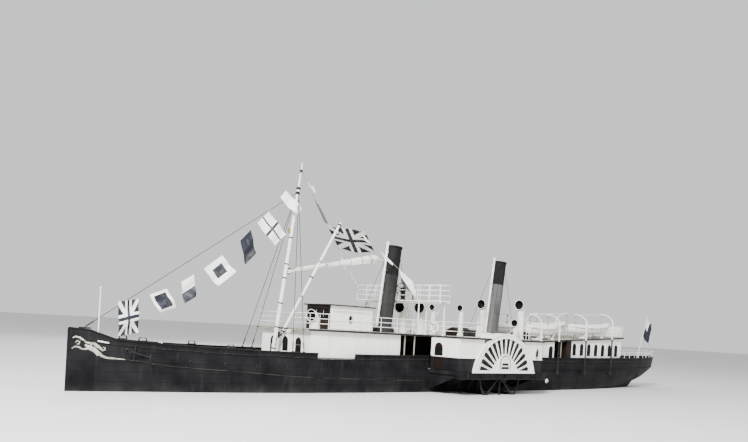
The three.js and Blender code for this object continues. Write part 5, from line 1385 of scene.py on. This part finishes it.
# columns: name, x of the boat's middle, half its length, x of its davits
BOATS = [("fore", -9.95, 2.25, (-8.3, -10.95)), ("aft", -17.2, 3.25, (-15.25, -19.9))]


def make_boats():
    for name, middle, half, xs in BOATS:
        for side, s in SIDES:
            make_boat(name, middle, half, side, s)
        make_davits(name, xs)


# ---------------------------------------------------------------- mast, spars and rigging

MAST_TILT = math.radians(6.7)
MAST_AXIS = (-math.sin(MAST_TILT), 0, math.cos(MAST_TILT))
MAST_X = 17.15
MAST_DECK = 1.77125
HOUNDS = 12.6
MAST_LENGTH = 14.35


def on_mast(length, dx=0.0, dy=0.0):
    """A place beside the mast, a length up it from the deck."""
    return Vector((MAST_X - length * math.sin(MAST_TILT) + dx, dy, MAST_DECK + length * math.cos(MAST_TILT)))


DERRICK_PIN = on_mast(2.05, -0.27)
SAIL_PIN = on_mast(6.6, -0.34)
TRUCK = [(0, 0), (0.07, 0), (0.09, 0.03), (0.09, 0.07), (0.05, 0.1), (0, 0.11)]
PARTNERS = [(0.17, 0.0), (0.3, 0.0), (0.3, 0.05), (0.24, 0.12), (0.18, 0.16)]
MAST_CAP = [(0, -0.08), (0.15, -0.08), (0.16, -0.04), (0.16, 0.04), (0.13, 0.06), (0, 0.06)]
LAMP = [(0, -0.16), (0.1, -0.16), (0.1, -0.12), (0.085, -0.11), (0.085, 0.08), (0.1, 0.1), (0.05, 0.2), (0.03, 0.24),
        (0, 0.25)]


def mast_radius(length):
    return 0.16 - 0.05 * length / HOUNDS


def pin_bracket(pin):
    """Two arms off the mast that hold an upright pin."""
    x, _, z = pin
    arms = [block(x - 0.08, x + 0.26, -0.08, 0.08, low, low + 0.06, 0.02) for low in (z - 0.2, z + 0.14)]
    head = turned("pin_head", [(0, 0), (0.06, 0), (0.06, 0.03), (0.03, 0.05), (0, 0.05)], (x, 0, z + 0.2))
    return [*arms, rod((x, 0, z - 0.18), (x, 0, z + 0.18), 0.035), head]


def make_mast():
    """The mast with its bands, brackets, cleats, rungs and lamp."""
    pole = [(*on_mast(length), mast_radius(length)) for length in [0.01 + 0.7 * i for i in range(18)]]
    head = [(*on_mast(length), mast_radius(length)) for length in (11.9, 12.6)]
    topmast = [(*on_mast(12.3), 0.07), (*on_mast(14.3), 0.046)]
    wood = [tubes("pole", [pole, head], 0.16, 20), tubes("topmast", [topmast], 0.07, 16),
            turned("truck", TRUCK, on_mast(MAST_LENGTH - 0.03), MAST_AXIS, 20)]
    fitted("mast_spar", wood, SPAR, smooth=40, replaces=["mast"])
    iron = [turned("partners", PARTNERS, on_mast(0.01), MAST_AXIS, 24),
            turned("cap", MAST_CAP, on_mast(HOUNDS - 0.02), MAST_AXIS, 20),
            *pin_bracket(DERRICK_PIN), *pin_bracket(SAIL_PIN)]
    for length in (1.1, 2.6, 4.3, 6.1, 7.1, 9.0, 11.4, 12.3, 12.62):
        r = mast_radius(min(length, HOUNDS))
        hoop = [(r - 0.01, -0.05), (r + 0.016, -0.04), (r + 0.016, 0.04), (r - 0.01, 0.05)]
        iron.append(turned("hoop", hoop, on_mast(length), MAST_AXIS, 24))
    for length in (1.4, 1.75):
        for s in (-1, 1):
            x, y, z = on_mast(length, 0, s * 0.19)
            horns = [(x + 0.02, y, z - 0.13, 0.015), (x, y, z, 0.026), (x - 0.02, y, z + 0.13, 0.015)]
            iron += [tubes("cleat", [[(x, y - s * 0.05, z), (x, y, z)]], 0.03), tubes("horns", [horns], 0.026)]
    fitted("mast_irons", iron, BLACK_FITTINGS_AND_SHADE)
    rungs = []
    for length in [7.4 + 0.33 * i for i in range(14)]:  # on the aft side, up to the light
        x, _, z = on_mast(length, 0.01 - mast_radius(length))
        rungs.append([(x, -0.09, z), (x - 0.07, -0.09, z), (x - 0.07, 0.09, z), (x, 0.09, z)])
    fitted("mast_steps", tubes("rungs", rungs, 0.012, 6), BLACK_FITTINGS_AND_SHADE)
    x, _, z = on_mast(9.5, 0.23)
    lamp = [turned("lamp", LAMP, (x, 0, z), steps=20), block(x - 0.12, x, -0.05, 0.05, z - 0.2, z - 0.16)]
    fitted("masthead_lamp", lamp, BRASS)


DERRICK_SWING = math.radians(15)
DERRICK_RISE = math.radians(64)
DERRICK_BLOCK = [(0, -0.06), (0.1, -0.06), (0.12, -0.03), (0.12, 0.03), (0.1, 0.06), (0, 0.06)]


def make_derrick():
    """The derrick's spar, with its gooseneck, block, hook and whippings."""
    cos, sin = math.cos(DERRICK_SWING), math.sin(DERRICK_SWING)
    x, y, z = DERRICK_PIN
    pivot = Vector((x - 0.16 * cos, y + 0.16 * sin, z))
    out = Vector((-math.cos(DERRICK_RISE) * cos, math.cos(DERRICK_RISE) * sin, math.sin(DERRICK_RISE)))
    side = Vector((sin, cos, 0))
    spar = [(*(pivot + out * d), r) for d, r in (
        (0.2, 0.085), (0.5, 0.105), (2.5, 0.112), (5.0, 0.105), (7.5, 0.095), (9.28, 0.085))]
    fitted("derrick_spar", tubes("spar", [spar], 0.112, 18), SPAR, body="derrick", smooth=40,
           replaces=["derrick"])

    def round_spar(name, profile, d, steps):
        return turned(name, profile, pivot + out * d, out, steps)

    iron = [round_spar("band", [(0.08, -0.06), (0.13, -0.05), (0.13, 0.05), (0.08, 0.06)], d, 20)
            for d in (0.3, 4.7, 9.1)]
    cheeks = [[pivot + side * y + out * d for d in (-0.04, 0.3)] for y in (-0.065, 0.065)]
    head = pivot + out * 9.1
    sheave = head - Vector((0, 0, 0.24))
    hook = [sheave - Vector((0, 0, drop)) for drop in (0.1, 0.35)]
    hook += [sheave + Vector((0.07 * s, 0, 0.07 * c - 0.42)) for c, s in circle(12)[:8]]
    iron += [tubes("cheeks", cheeks, 0.022), rod(pivot - side * 0.1, pivot + side * 0.1, 0.03),
             turned("block", DERRICK_BLOCK, sheave, side, 20), tubes("strop", [[head, sheave], hook], 0.02)]
    fitted("derrick_irons", iron, BLACK_FITTINGS_AND_SHADE, body="derrick")
    whippings = [round_spar("whipping", [(0.1, -0.1), (0.122, -0.09), (0.122, 0.09), (0.1, 0.1)], d, 16)
                 for d in (3.1, 6.0)]
    fitted("derrick_whippings", whippings, ROPE, body="derrick")


# the roll's radius at each length along the boom
FURLED = [(0.5, 0.06), (0.9, 0.1), (1.6, 0.12), (2.4, 0.145), (3.6, 0.18), (5.0, 0.22), (6.2, 0.28), (7.4, 0.325),
          (8.0, 0.33), (8.3, 0.22), (8.42, 0.06)]
GASKETS = [1.1, 2.2, 3.3, 4.5, 5.6, 6.7, 7.6]
FOLDS = ((0.09, 5, 0.9), (0.05, 9, -1.7), (0.03, 3, 2.6))  # size, folds in a turn, their twist along the boom
BOOM_RISE = math.radians(11)


def thread_lengths(rows):
    """The mean lengths of a cloth's threads each way, which are its cut's width and length, on the model."""
    def mean(threads):
        lengths = [sum((Vector(b) - Vector(a)).length for a, b in zip(run, run[1:])) for run in threads]
        return sum(lengths) / len(lengths) * MODEL

    return mean(rows), mean(list(zip(*rows)))


def make_sail():
    """A boom with its sail furled on top, held down by gaskets."""
    out = Vector((-math.cos(BOOM_RISE), 0, math.sin(BOOM_RISE)))
    up = Vector((math.sin(BOOM_RISE), 0, math.cos(BOOM_RISE)))

    def beside(d, across, above):
        return SAIL_PIN + out * d + up * (0.12 + above) + Vector((0, across, 0))

    boom = [(*(SAIL_PIN + out * d), r) for d, r in ((0.06, 0.05), (0.4, 0.06), (4.5, 0.066), (8.75, 0.05))]
    eye = [(0.045, -0.135), (0.09, -0.135), (0.09, 0.135), (0.045, 0.135), (0.045, -0.135)]
    spar = [tubes("boom", [boom], 0.066, 14), turned("eye", eye, SAIL_PIN, steps=20)]
    fitted("sail_boom_spar", spar, SPAR, body="sail_boom", smooth=40, replaces=["sail_boom"])
    # the cloth is rolled up twice round the boom, its outer edge tucked under
    rows = []
    steps, turns, count = 36, 2.2, 110
    for i in range(count + 1):
        d = 0.5 + 7.92 * i / count
        pinch = min(1, sum(math.exp(-((d - g) / 0.09) ** 2) for g in GASKETS))
        row = []
        for k in range(math.ceil(steps * turns) + 1):
            a = math.tau * k / steps - 1.9
            layer = 0.68 + 0.32 * k / (steps * turns)
            fold = sum(size * math.sin(n * a + d * twist) for size, n, twist in FOLDS)
            r = along(FURLED, 1, d) * layer * (1 + fold) * (1 - 0.24 * pinch)
            sag = 0.05 * (1 - pinch) * max(0, -math.sin(a))
            row.append(beside(d, r * 0.92 * math.cos(a), r * math.sin(a) - sag))
        rows.append(row)
    cut = thread_lengths(rows)
    sail = thickened(grid("sail", rows), 0.01)
    sail = fitted("furled_sail", sail, CANVAS, body="sail_boom", smooth=60)
    ties = []
    for g in GASKETS:
        r = along(FURLED, 1, g) * 0.8
        ties += [[beside(g + dd, 0.95 * c, s) for c, s in circle(20, r)] for dd in (-0.02, 0.02)]
    gaskets = fitted("sail_gaskets", tubes("ties", ties, 0.016, 6, closed=True), ROPE, body="sail_boom")


SHROUDS = (17.6, 16.75)


def make_rigging():
    """Forestay and shrouds with their turnbuckles, and ratlines up the lower part of the shrouds."""
    head = on_mast(HOUNDS - 0.4)
    rail = rail_z(30.6)
    wires = [[(head.x + 0.14, 0, head.z), (30.45, 0, rail + 0.06)]]
    parts = [block(30.2, 30.6, -0.5, 0.5, rail + 0.001, rail + 0.08, 0.02),
             turned("collar", [(0.11, -0.05), (0.165, -0.04), (0.165, 0.04), (0.11, 0.05)], head, MAST_AXIS, 20)]
    rungs = []
    for s in (-1, 1):
        top = Vector((head.x, s * 0.13, head.z))
        feet = [Vector((x, s * (side_y(x, rail_z(x)) - 0.02), rail_z(x))) for x in SHROUDS]
        for x, y, z in feet:
            wires.append([top, (x, y, z + 0.06)])
            parts.append(block(x - 0.06, x + 0.06, y - 0.05, y + 0.05, z, z + 0.1))
        rungs += [[foot.lerp(top, i * 0.045) for foot in feet] for i in range(1, 16)]
    for end, foot in wires:
        foot = Vector(foot)
        rise = (Vector(end) - foot).normalized()
        parts += [rod(foot + rise * low, foot + rise * high, radius, sides=8)
                  for low, high, radius in ((0.15, 0.65, 0.04), (0, 0.16, 0.02))]
    fitted("stays_and_shrouds", [tubes("wires", wires, 0.02, 6), *parts], BLACK_FITTINGS_AND_SHADE,
           replaces=["standing_rigging"])
    fitted("ratlines", tubes("rungs", rungs, 0.009, 6), ROPE)


# ---------------------------------------------------------------- flags

JACKSTAFF = (29.7, 0.3)
LINE_TOP = on_mast(HOUNDS + 1.3, 0, 0.06)
CHORDS = 6
# each dressing line's two ends and its sag
DRESSING_LINES = {
    "fore": (LINE_TOP, Vector((*JACKSTAFF, 5.2)), 2.3),
    "aft": (LINE_TOP, Vector((5.68, 2.2, 8.2)), 0.25),
    "wing": (LINE_TOP, Vector((5.68, -4.8, 8.2)), 0.25),
}
WHITE = (0.85, 0.84, 0.81)
DARK = (0.02, 0.022, 0.03)
GREY = (0.2, 0.2, 0.2)


def flag_finish(name, pattern, ground, charge):
    """Bunting in two colours, divided by a pattern of the flag's own u and v."""
    finish = Finish(name, ground, 0.85)
    uv = finish.nodes.new("ShaderNodeUVMap")
    uv.uv_map = "flag"
    parts = finish.node("ShaderNodeSeparateXYZ", Vector=uv.outputs["UV"])
    u, v = parts.outputs["X"], parts.outputs["Y"]

    def maths(kind, a, b=0.0):
        node = finish.nodes.new("ShaderNodeMath")
        node.operation = kind
        for socket, value in zip(node.inputs, (a, b)):
            finish.put(socket, value)
        return node.outputs[0]

    def off(value, middle=0.5):
        return maths("ABSOLUTE", maths("SUBTRACT", value, middle))

    def below(a, b):
        return maths("LESS_THAN", a, b)

    def either(*masks):
        out = masks[0]
        for mask in masks[1:]:
            out = maths("MAXIMUM", out, mask)
        return out

    if pattern == "cross":
        mask = either(below(off(u), 0.045), below(off(v), 0.05))
    elif pattern == "square":
        mask = maths("MINIMUM", below(off(u), 0.24), below(off(v), 0.26))
    elif pattern == "border":
        mask = either(below(0.36, off(u)), below(0.34, off(v)))
    elif pattern == "halves":
        mask = below(0.5, u)
    elif pattern == "jack":
        wide = either(below(off(u), 0.13), below(off(v), 0.15), below(off(u, v), 0.1),
                      below(off(u, maths("SUBTRACT", 1.0, v)), 0.1))
        narrow = either(below(off(u), 0.05), below(off(v), 0.06))
        mask = maths("MINIMUM", wide, maths("SUBTRACT", 1.0, narrow))
    elif pattern == "corner":
        mask = below(1.05, maths("ADD", u, maths("MULTIPLY", v, 0.6)))
    elif pattern == "canton":
        mask = maths("MINIMUM", below(u, 0.4), below(0.5, v))
    else:
        mask = below(v, 0.0)
    soil = finish.noise(5.0, 6.0)
    base = finish.mix(mask, ground, charge)
    finish.paint(finish.mix(finish.ramp(soil, [(0.45, 0.0), (0.85, 0.35)]), base, (0.25, 0.24, 0.22)))
    wave = finish.node("ShaderNodeTexWave", Vector=finish.mapped(), Scale=200.0)
    finish.bump(wave.outputs["Fac"], 0.1, 0.0006)
    return finish.material


def cloth_between(name, corners, wave, phase):
    """A flag hung from its hoist and blown out to its fly in waves that grow along it, and its flat cut."""
    columns, rows = 30, 18
    a, b, c, d = corners  # the hoist's head and foot, the fly's head and foot
    side = (c - a).cross(b - a).normalized()
    threads, uvs = [], []
    for i in range(columns + 1):
        u = i / columns
        swell = wave * min(1.0, u * 2.2) * (0.35 + 0.65 * u)
        thread = []
        for j in range(rows + 1):
            v = j / rows
            p = a.lerp(c, u).lerp(b.lerp(d, u), v) + side * swell * math.sin(u * 7.5 - v * 1.4 + phase)
            p.z -= 0.05 * (c - a).length * math.sin(math.pi * u) * v
            p.z += 0.25 * wave * math.sin(u * 11 + v * 3 + phase) * u * (1 - v)
            thread.append(p)
            uvs.append((u, 1 - v))
        threads.append(thread)
    piece = grid(name, threads)
    layer = piece.data.uv_layers.new(name="flag")
    for loop in piece.data.loops:
        layer.data[loop.index].uv = uvs[loop.vertex_index]
    return thickened(piece, 0.012), thread_lengths(threads)


def hoisted(name, top, bottom, away, wave, phase, finish):
    """A flag between the ends of its hoist, streaming away from both."""
    piece, cut = cloth_between(name, (top, bottom, top + away, bottom + away), wave, phase)
    piece = fitted(name, piece, flag_finish(*finish), smooth=60)


def line_point(start, end, sag, share):
    p = start.lerp(end, share)
    p.z -= 4 * sag * share * (1 - share)
    return p


def hang(start, end, sag, share):
    """A place on the signal line's chords."""
    chord = min(int(share * CHORDS), CHORDS - 1)
    before, after = (line_point(start, end, sag, (chord + k) / CHORDS) for k in (0, 1))
    return before.lerp(after, share * CHORDS - chord)


# columns: line, share where the hoist starts and ends, run aft, drift to port, fall, pattern, ground, charge
FLAGS = [
    ("fore", 0.09, 0.12, 1.3, 0.3, 1.1, "plain", WHITE, DARK),
    ("fore", 0.186, 0.245, 1.4, 0.3, 1.4, "cross", WHITE, DARK),
    ("fore", 0.28, 0.335, 0.4, 0.2, 1.6, "plain", DARK, DARK),
    ("fore", 0.43, 0.52, 1.0, 0.2, 1.05, "square", WHITE, DARK),
    ("fore", 0.57, 0.63, 0.2, 0.1, 1.4, "halves", WHITE, DARK),
    ("fore", 0.7, 0.78, 0.7, 0.15, 1.1, "border", DARK, WHITE),
    ("fore", 0.83, 0.92, 0.1, 0.1, 2.1, "jack", DARK, WHITE),
    ("aft", 0.5, 0.54, 0.3, 0.2, 0.5, "plain", WHITE, DARK),
    ("aft", 0.66, 0.74, 0.4, 0.2, 0.4, "plain", WHITE, DARK),
    ("aft", 0.84, 0.97, 0.3, 0.2, 1.2, "corner", WHITE, DARK),
    ("wing", 0.08, 0.12, 0.5, 0.1, 0.3, "plain", WHITE, DARK),
    ("wing", 0.2, 0.34, 0.3, 0.2, 0.6, "halves", DARK, GREY),
    ("wing", 0.42, 0.61, 2.4, 1.7, 0.25, "jack", DARK, WHITE),
    ("wing", 0.64, 0.74, 0.2, 0.1, 0.8, "plain", WHITE, DARK),
    ("wing", 0.83, 0.93, 0.3, 0.1, 0.7, "plain", WHITE, DARK),
]


def make_flags():
    """The dressing lines, the jackstaff that holds the fore one, and the flags on them."""
    runs = [[line_point(*line, i / CHORDS) for i in range(CHORDS + 1)] for line in DRESSING_LINES.values()]
    halyards = tint(tubes("halyards", runs, 0.016, 6), ROPE)
    x, y = JACKSTAFF
    staff = [(x, y, deck_z(x) - 0.02, 0.045), (x, y, 4.6, 0.04), (x, y, 6.12, 0.028)]
    step = [(0.05, 0), (0.1, 0), (0.1, 0.05), (0.07, 0.1), (0.05, 0.2)]
    wood = [tubes("staff", [staff], 0.045, 14), ball(0.055, (x, y, 6.15)),
            turned("step", step, (x, y, deck_z(x)), steps=16)]
    collar = turned("collar", [(0.055, -0.1), (0.1, -0.09), (0.1, 0.09), (0.055, 0.1)], on_mast(HOUNDS + 1.25),
                    MAST_AXIS, 20)
    gear = [halyards, tint(wood, SPAR), tint(collar, BLACK_FITTINGS_AND_SHADE)]
    fitted("dressing_gear", gear, None, replaces=["dressing_lines"])
    for number, (line, low, high, run, drift, fall, pattern, ground, charge) in enumerate(FLAGS):
        name = f"flag_{line}_{number + 1}"
        top, bottom = (hang(*DRESSING_LINES[line], share) for share in (low, high))
        hoisted(name, top, bottom, Vector((-run, drift, -fall)), 0.1, number * 1.3,
                (f"{name}_bunting", pattern, ground, charge))


def make_ensign():
    """The raked staff at the stern, its halyard and the draped flag."""
    foot, top = Vector((-29.9, 0, deck_z(-29.9))), Vector((-31.9, 0, 7.5))

    def up(share, aft=0.0):
        return foot.lerp(top, share) - Vector((aft, 0, 0))

    staff = [(*up(share), radius) for share, radius in ((0, 0.05), (0.5, 0.042), (0.985, 0.028))]
    wood = [tubes("staff", [staff], 0.05, 14), ball(0.06, up(0.99))]
    step = turned("step", [(0.05, 0), (0.11, 0), (0.11, 0.05), (0.07, 0.1), (0.055, 0.24)], foot, top - foot, 16)
    halyard = tubes("halyard", [[up(0.2, 0.07), up(0.97, 0.05)]], 0.01, 6)
    parts = [tint(wood, SPAR), tint(step, IRON), tint(halyard, ROPE)]
    fitted("ensign_staff", parts, None, replaces=["ensign"])
    hoisted("ensign_flag", up(0.97), up(0.62), Vector((-1.3, 0, -1.0)), 0.14, 0.6,
            ("ensign_bunting", "canton", DARK, WHITE))


# ---------------------------------------------------------------- deck furniture

CHEEK = [(-0.5, 0), (-0.44, 0.16), (-0.26, 0.5), (-0.17, 0.74), (0, 0.85), (0.17, 0.74), (0.26, 0.5), (0.44, 0.16),
         (0.5, 0)]
BOSS = [(0, -0.02), (0.16, -0.02), (0.16, 0.02), (0.12, 0.035), (0, 0.035)]
WARPING_HEAD = [(0.1, 0.78), (0.24, 0.8), (0.19, 0.86), (0.15, 0.95), (0.16, 1.04), (0.22, 1.11), (0.22, 1.14),
                (0, 1.15)]
DRUM = [(0.12, -0.55), (0.24, -0.55), (0.24, -0.5), (0.17, -0.46), (0.17, -0.3), (0.24, -0.26), (0.24, -0.2),
        (0.15, -0.18), (0.14, 0.18), (0.24, 0.2), (0.24, 0.26), (0.17, 0.3), (0.17, 0.46), (0.24, 0.5), (0.24, 0.55),
        (0.12, 0.55)]


def make_windlass():
    """The drum and its warping heads between two cheeks, with the ratchet's teeth and the brake."""
    x, z = 26.6, deck_z(26.6)
    axle = z + 0.55
    works = [turned("drum", DRUM, (x, 0, axle), (0, 1, 0), 32)]
    for s in (-1, 1):
        cheek = prism("cheek", CHEEK, [
            lambda dx, dz, y=y: (x + dx, y, deck_z(x + dx) + dz) for y in (s * 0.56, s * 0.74)])
        works += [edited(cheek, outward, lambda: bpy.ops.mesh.bevel(offset=0.015, segments=2, affect="EDGES")),
                  turned("boss", BOSS, (x, s * 0.75, axle), (0, s, 0), 24),
                  turned("warping_head", WARPING_HEAD, (x, 0, axle), (0, s, 0), 24)]
        works += [turned("bolt", [(0, 0), (0.03, 0), (0.03, 0.03), (0, 0.03)], (x + dx, s * 0.75, z + 0.1),
                         (0, s, 0), 6) for dx in (-0.36, 0.36)]
    works += [rod((x + c, 0.2, axle + h), (x + c, 0.26, axle + h), 0.018, sides=6) for c, h in circle(20, 0.22)]
    brake = [(x - 0.1, 0.38, z + 0.3), (x - 0.34, 0.38, z + 0.55), (x - 0.38, 0.38, z + 0.84)]
    fitted("windlass_works", [*works, tubes("brake", [brake], 0.02)], BLACK_FITTINGS_AND_SHADE, replaces=["windlass"])


def make_bench(name, x, z, length):
    """Two slatted seats that share one back, on iron ends."""
    wood, iron = [], []
    for s in (-1, 1):
        slats = [(s * (0.1 + 0.085 * k), 0.035, 0.42, 0.445, 0.006) for k in range(5)]
        slats += [(s * (0.055 - 0.012 * k), 0.012, 0.54 + 0.13 * k, 0.63 + 0.13 * k, 0.005) for k in range(3)]
        wood += [block(x - length / 2, x + length / 2, y - w, y + w, z + low, z + high, bevel)
                 for y, w, low, high, bevel in slats]
        for end in [x + share * length for share in (-0.44, 0, 0.44)]:
            leg = [(end, s * y, z + h) for y, h in ((0.47, 0), (0.43, 0.2), (0.45, 0.41), (0.06, 0.41), (0.02, 0.9))]
            arm = [(end, s * y, z + h) for y, h in ((0.45, 0.41), (0.46, 0.62), (0.08, 0.66))]
            iron += [tubes("leg", [leg], 0.018), tubes("arm", [arm], 0.014)]
    fitted(name, [tint(wood, FITTING_WHITE), tint(iron, BLACK_FITTINGS_AND_SHADE)], None)


def make_skylight(name, x0, x1, half, z, panes):
    """A coaming with a ridge, sloped panes in their sashes, and brass guards."""
    ridge, eave = z + 0.72, z + 0.42
    length = math.hypot(half, ridge - eave)
    gable = [(-half, z - 0.03), (-half, eave), (0, ridge), (half, eave), (half, z - 0.03)]
    wood = [edited(prism("gable", gable, [lambda y, h, x=x: (x, y, h) for x in (start, start + 0.06)]), outward)
            for start in (x0, x1 - 0.06)]
    glass, guards = [], []
    for s in (-1, 1):
        slope = Vector((0, s * half, eave - ridge)) / length
        lift = Vector((0, s * (ridge - eave), half)) / length

        def on_roof(x, down, proud=0.0):
            return Vector((x, 0, ridge)) + slope * down + lift * proud

        wood.append(block(x0, x1, *sorted((s * half, s * (half - 0.06))), z - 0.03, eave))
        xs = [x0 + 0.03 + (x1 - x0 - 0.06) * k / panes for k in range(panes + 1)]
        wood.append(tubes("bars", [[on_roof(x, down, 0.01) for down in (0, length + 0.04)] for x in xs], 0.032))
        rails = [[on_roof(x, length * share) for x in (x0, x1)] for share in (0.02, 0.98)]
        wood.append(tubes("rails", rails, 0.034))
        pane = [on_roof(x, down) for x, down in ((xs[0], 0), (xs[0], length), (xs[-1], length), (xs[-1], 0))]
        glass.append(shape("pane", pane, [(0, 1, 2, 3)]))
        guards += [[on_roof(x, length * k / 6, 0.06) for x in (x0 + 0.04, x1 - 0.04)] for k in range(1, 6)]
    parts = [tint(wood, JOINERY_AND_PASSAGE_SHADE), tint(glass, GLASS),
             tint(tubes("guards", guards, 0.009, 6), BRASS)]
    fitted(name, parts, None)


def make_companion(name, x0, x1, half, z, height):
    """A small hood over a stair, with panelled sides, a sliding hatch and two leaves."""
    top = z + height
    hood = [block(x0, x1, -half, half, z - 0.02, top, 0.02),
            block(x0 - 0.05, x1 + 0.05, -half - 0.05, half + 0.05, top, top + 0.05, 0.02),
            block(x0 + 0.04, x0 + (x1 - x0) * 0.65, -half + 0.12, half - 0.12, top + 0.05, top + 0.12, 0.03)]
    leaves = []
    for s in (-1, 1):
        slide = [(x, s * (half - 0.08), top + 0.07) for x in (x0 - 0.02, x1)]
        panels = []
        for k in range(2):
            a = x0 + 0.1 + (x1 - x0 - 0.1) * k / 2
            b = a + (x1 - x0 - 0.1) / 2 - 0.1
            panels.append([(x, s * (half + 0.008), h)
                           for x, h in ((a, z + 0.12), (b, z + 0.12), (b, top - 0.1), (a, top - 0.1))])
        hood += [tubes("slide", [slide], 0.022), tubes("panels", panels, 0.018, 6, closed=True)]
        inner, outer, low, high = 0.07, half - 0.12, z + 0.14, top - 0.14
        moulding = [(x0 - 0.022, s * y, h) for y, h in ((inner, low), (outer, low), (outer, high), (inner, high))]
        leaves += [block(x0 - 0.02, x0 + 0.01, *sorted((s * 0.02, s * (half - 0.06))), z + 0.06, top - 0.06, 0.006),
                   tubes("moulding", [moulding], 0.01, 6, closed=True)]
    fitted(name, [tint(hood, BOARD_WHITE), tint(leaves, JOINERY_AND_PASSAGE_SHADE)], None)


BUOY_R = 0.37


def make_lifebuoy(name, place):
    """A canvas ring, facing forward, with four bands and a grab line between them."""
    ring = turned("ring", [(BUOY_R + 0.105 * c, 0.09 * s) for c, s in circle(12, extra=1)], steps=40)
    bands, line = [], []
    for k in range(4):
        a = math.tau * (k + 0.5) / 4
        bands.append([((BUOY_R + 0.11 * c) * math.cos(a), (BUOY_R + 0.11 * c) * math.sin(a), 0.095 * s)
                      for c, s in circle(14)])
        for share in [m / 8 for m in range(9)]:
            b = a + math.tau / 4 * share
            r = 0.49 + 0.04 * math.sin(math.pi * share)
            line.append((r * math.cos(b), r * math.sin(b), 0))
    parts = [tint(ring, CANVAS), tint(tubes("bands", bands, 0.02, 6, closed=True), BLACK_FITTINGS_AND_SHADE),
             tint(tubes("grab", [line], 0.011, 6, closed=True), ROPE)]
    ahead = Vector((1, 0, 0)).to_track_quat("Z", "Y").to_matrix().to_4x4()
    fitted(name, moved(joined("buoy", parts), Matrix.Translation(place) @ ahead), None)


def make_dodger(name, start, end, low, high, holder, belly):
    """Canvas laced between two rails, its edges scalloped at the lacing."""
    columns, rows = 36, 10
    a, b = Vector(start), Vector(end)
    way = (b - a).normalized()
    out = Vector((way.y, -way.x, 0))
    threads = []
    for u in [i / columns for i in range(columns + 1)]:
        lace = 0.018 * (1 - abs(math.cos(math.pi * u * 8)))
        thread = []
        for v in [j / rows for j in range(rows + 1)]:
            p = a.lerp(b, u) + out * belly * math.sin(math.pi * v) * (0.7 + 0.3 * math.sin(9 * u))
            p.z = low + lace + (high - low - 2 * lace) * v
            thread.append(p)
        threads.append(thread)
    cloth = thickened(grid(name, threads), 0.01)
    cloth = fitted(name, cloth, CANVAS, smooth=50)
    turns = [[a.lerp(b, k / 8) + (way + out) * c + Vector((0, 0, h + s)) for c, s in circle(10, 0.035)]
             for k in range(9) for h in (low, high)]
    lacing = fitted(f"{name}_lacing", tubes("turns", turns, 0.007, 6, closed=True), ROPE)


def make_slatted_gate(name, s):
    """A dark slatted board in the rail, forward of the paddle box."""
    z, y = promenade_z(4), s * WING_RAIL_Y
    slats = [block(x, x + 0.11, y - 0.02, y + 0.02, z + 0.04, z + 0.55, 0.006)
             for x in [3.46 + 0.135 * k for k in range(10)]]
    slats += [block(3.44, 4.84, y - 0.035, y - 0.015, z + h, z + h + 0.07, 0.006) for h in (0.12, 0.44)]
    fitted(name, slats, BLACK_FITTINGS_AND_SHADE)


def make_deck_furniture():
    make_windlass()
    for number, x in enumerate((-15.4, -18.0)):
        make_bench(f"bench_{number + 1}", x, promenade_z(x), 2.1)
    make_skylight("skylight_aft", -11.9, -9.5, 0.75, promenade_z(-10.7), 5)
    make_skylight("skylight_middle", -2.7, -0.9, 0.7, promenade_z(-1.8), 4)
    make_companion("companion_aft", -13.7, -12.5, 0.6, promenade_z(-13.1), 1.0)
    z = promenade_z(3)
    for side, s in SIDES:
        make_lifebuoy(f"lifebuoy_{side}", (5.13, s * 3.9, promenade_z(5) + 0.6))
        make_slatted_gate(f"slatted_gate_{side}", s)
        ends = [(x, s * WING_RAIL_Y, 0) for x in (3.4, 2.93)[::s]]
        make_dodger(f"dodger_{side}", *ends, z + 0.06, z + 0.98, "promenade_rail_fore", 0.02)
    z = promenade_z(-22.6)
    make_dodger("dodger_aft", (-22.6, 0.9, 0), (-22.6, 2.7, 0), z + 0.06, z + 1.0, "promenade_rail_aft", -0.03)


make_hull_trim()
make_bow_scroll()
make_hull_rounds()
make_anchors()
make_stem()
make_bollards()
make_stanchions()
make_fore_deck()
make_paddle_boxes()
make_windows()
make_ports()
make_doors()
make_walls()
make_funnel("funnel_fore", 6.87, 4.55, FUNNEL_FORE)
make_funnel("funnel_aft", -5.85, 4.78, FUNNEL_AFT)
make_cowls()
make_rails()
make_bridge()
make_boats()
make_mast()
make_derrick()
make_sail()
make_rigging()
make_flags()
make_ensign()
make_deck_furniture()
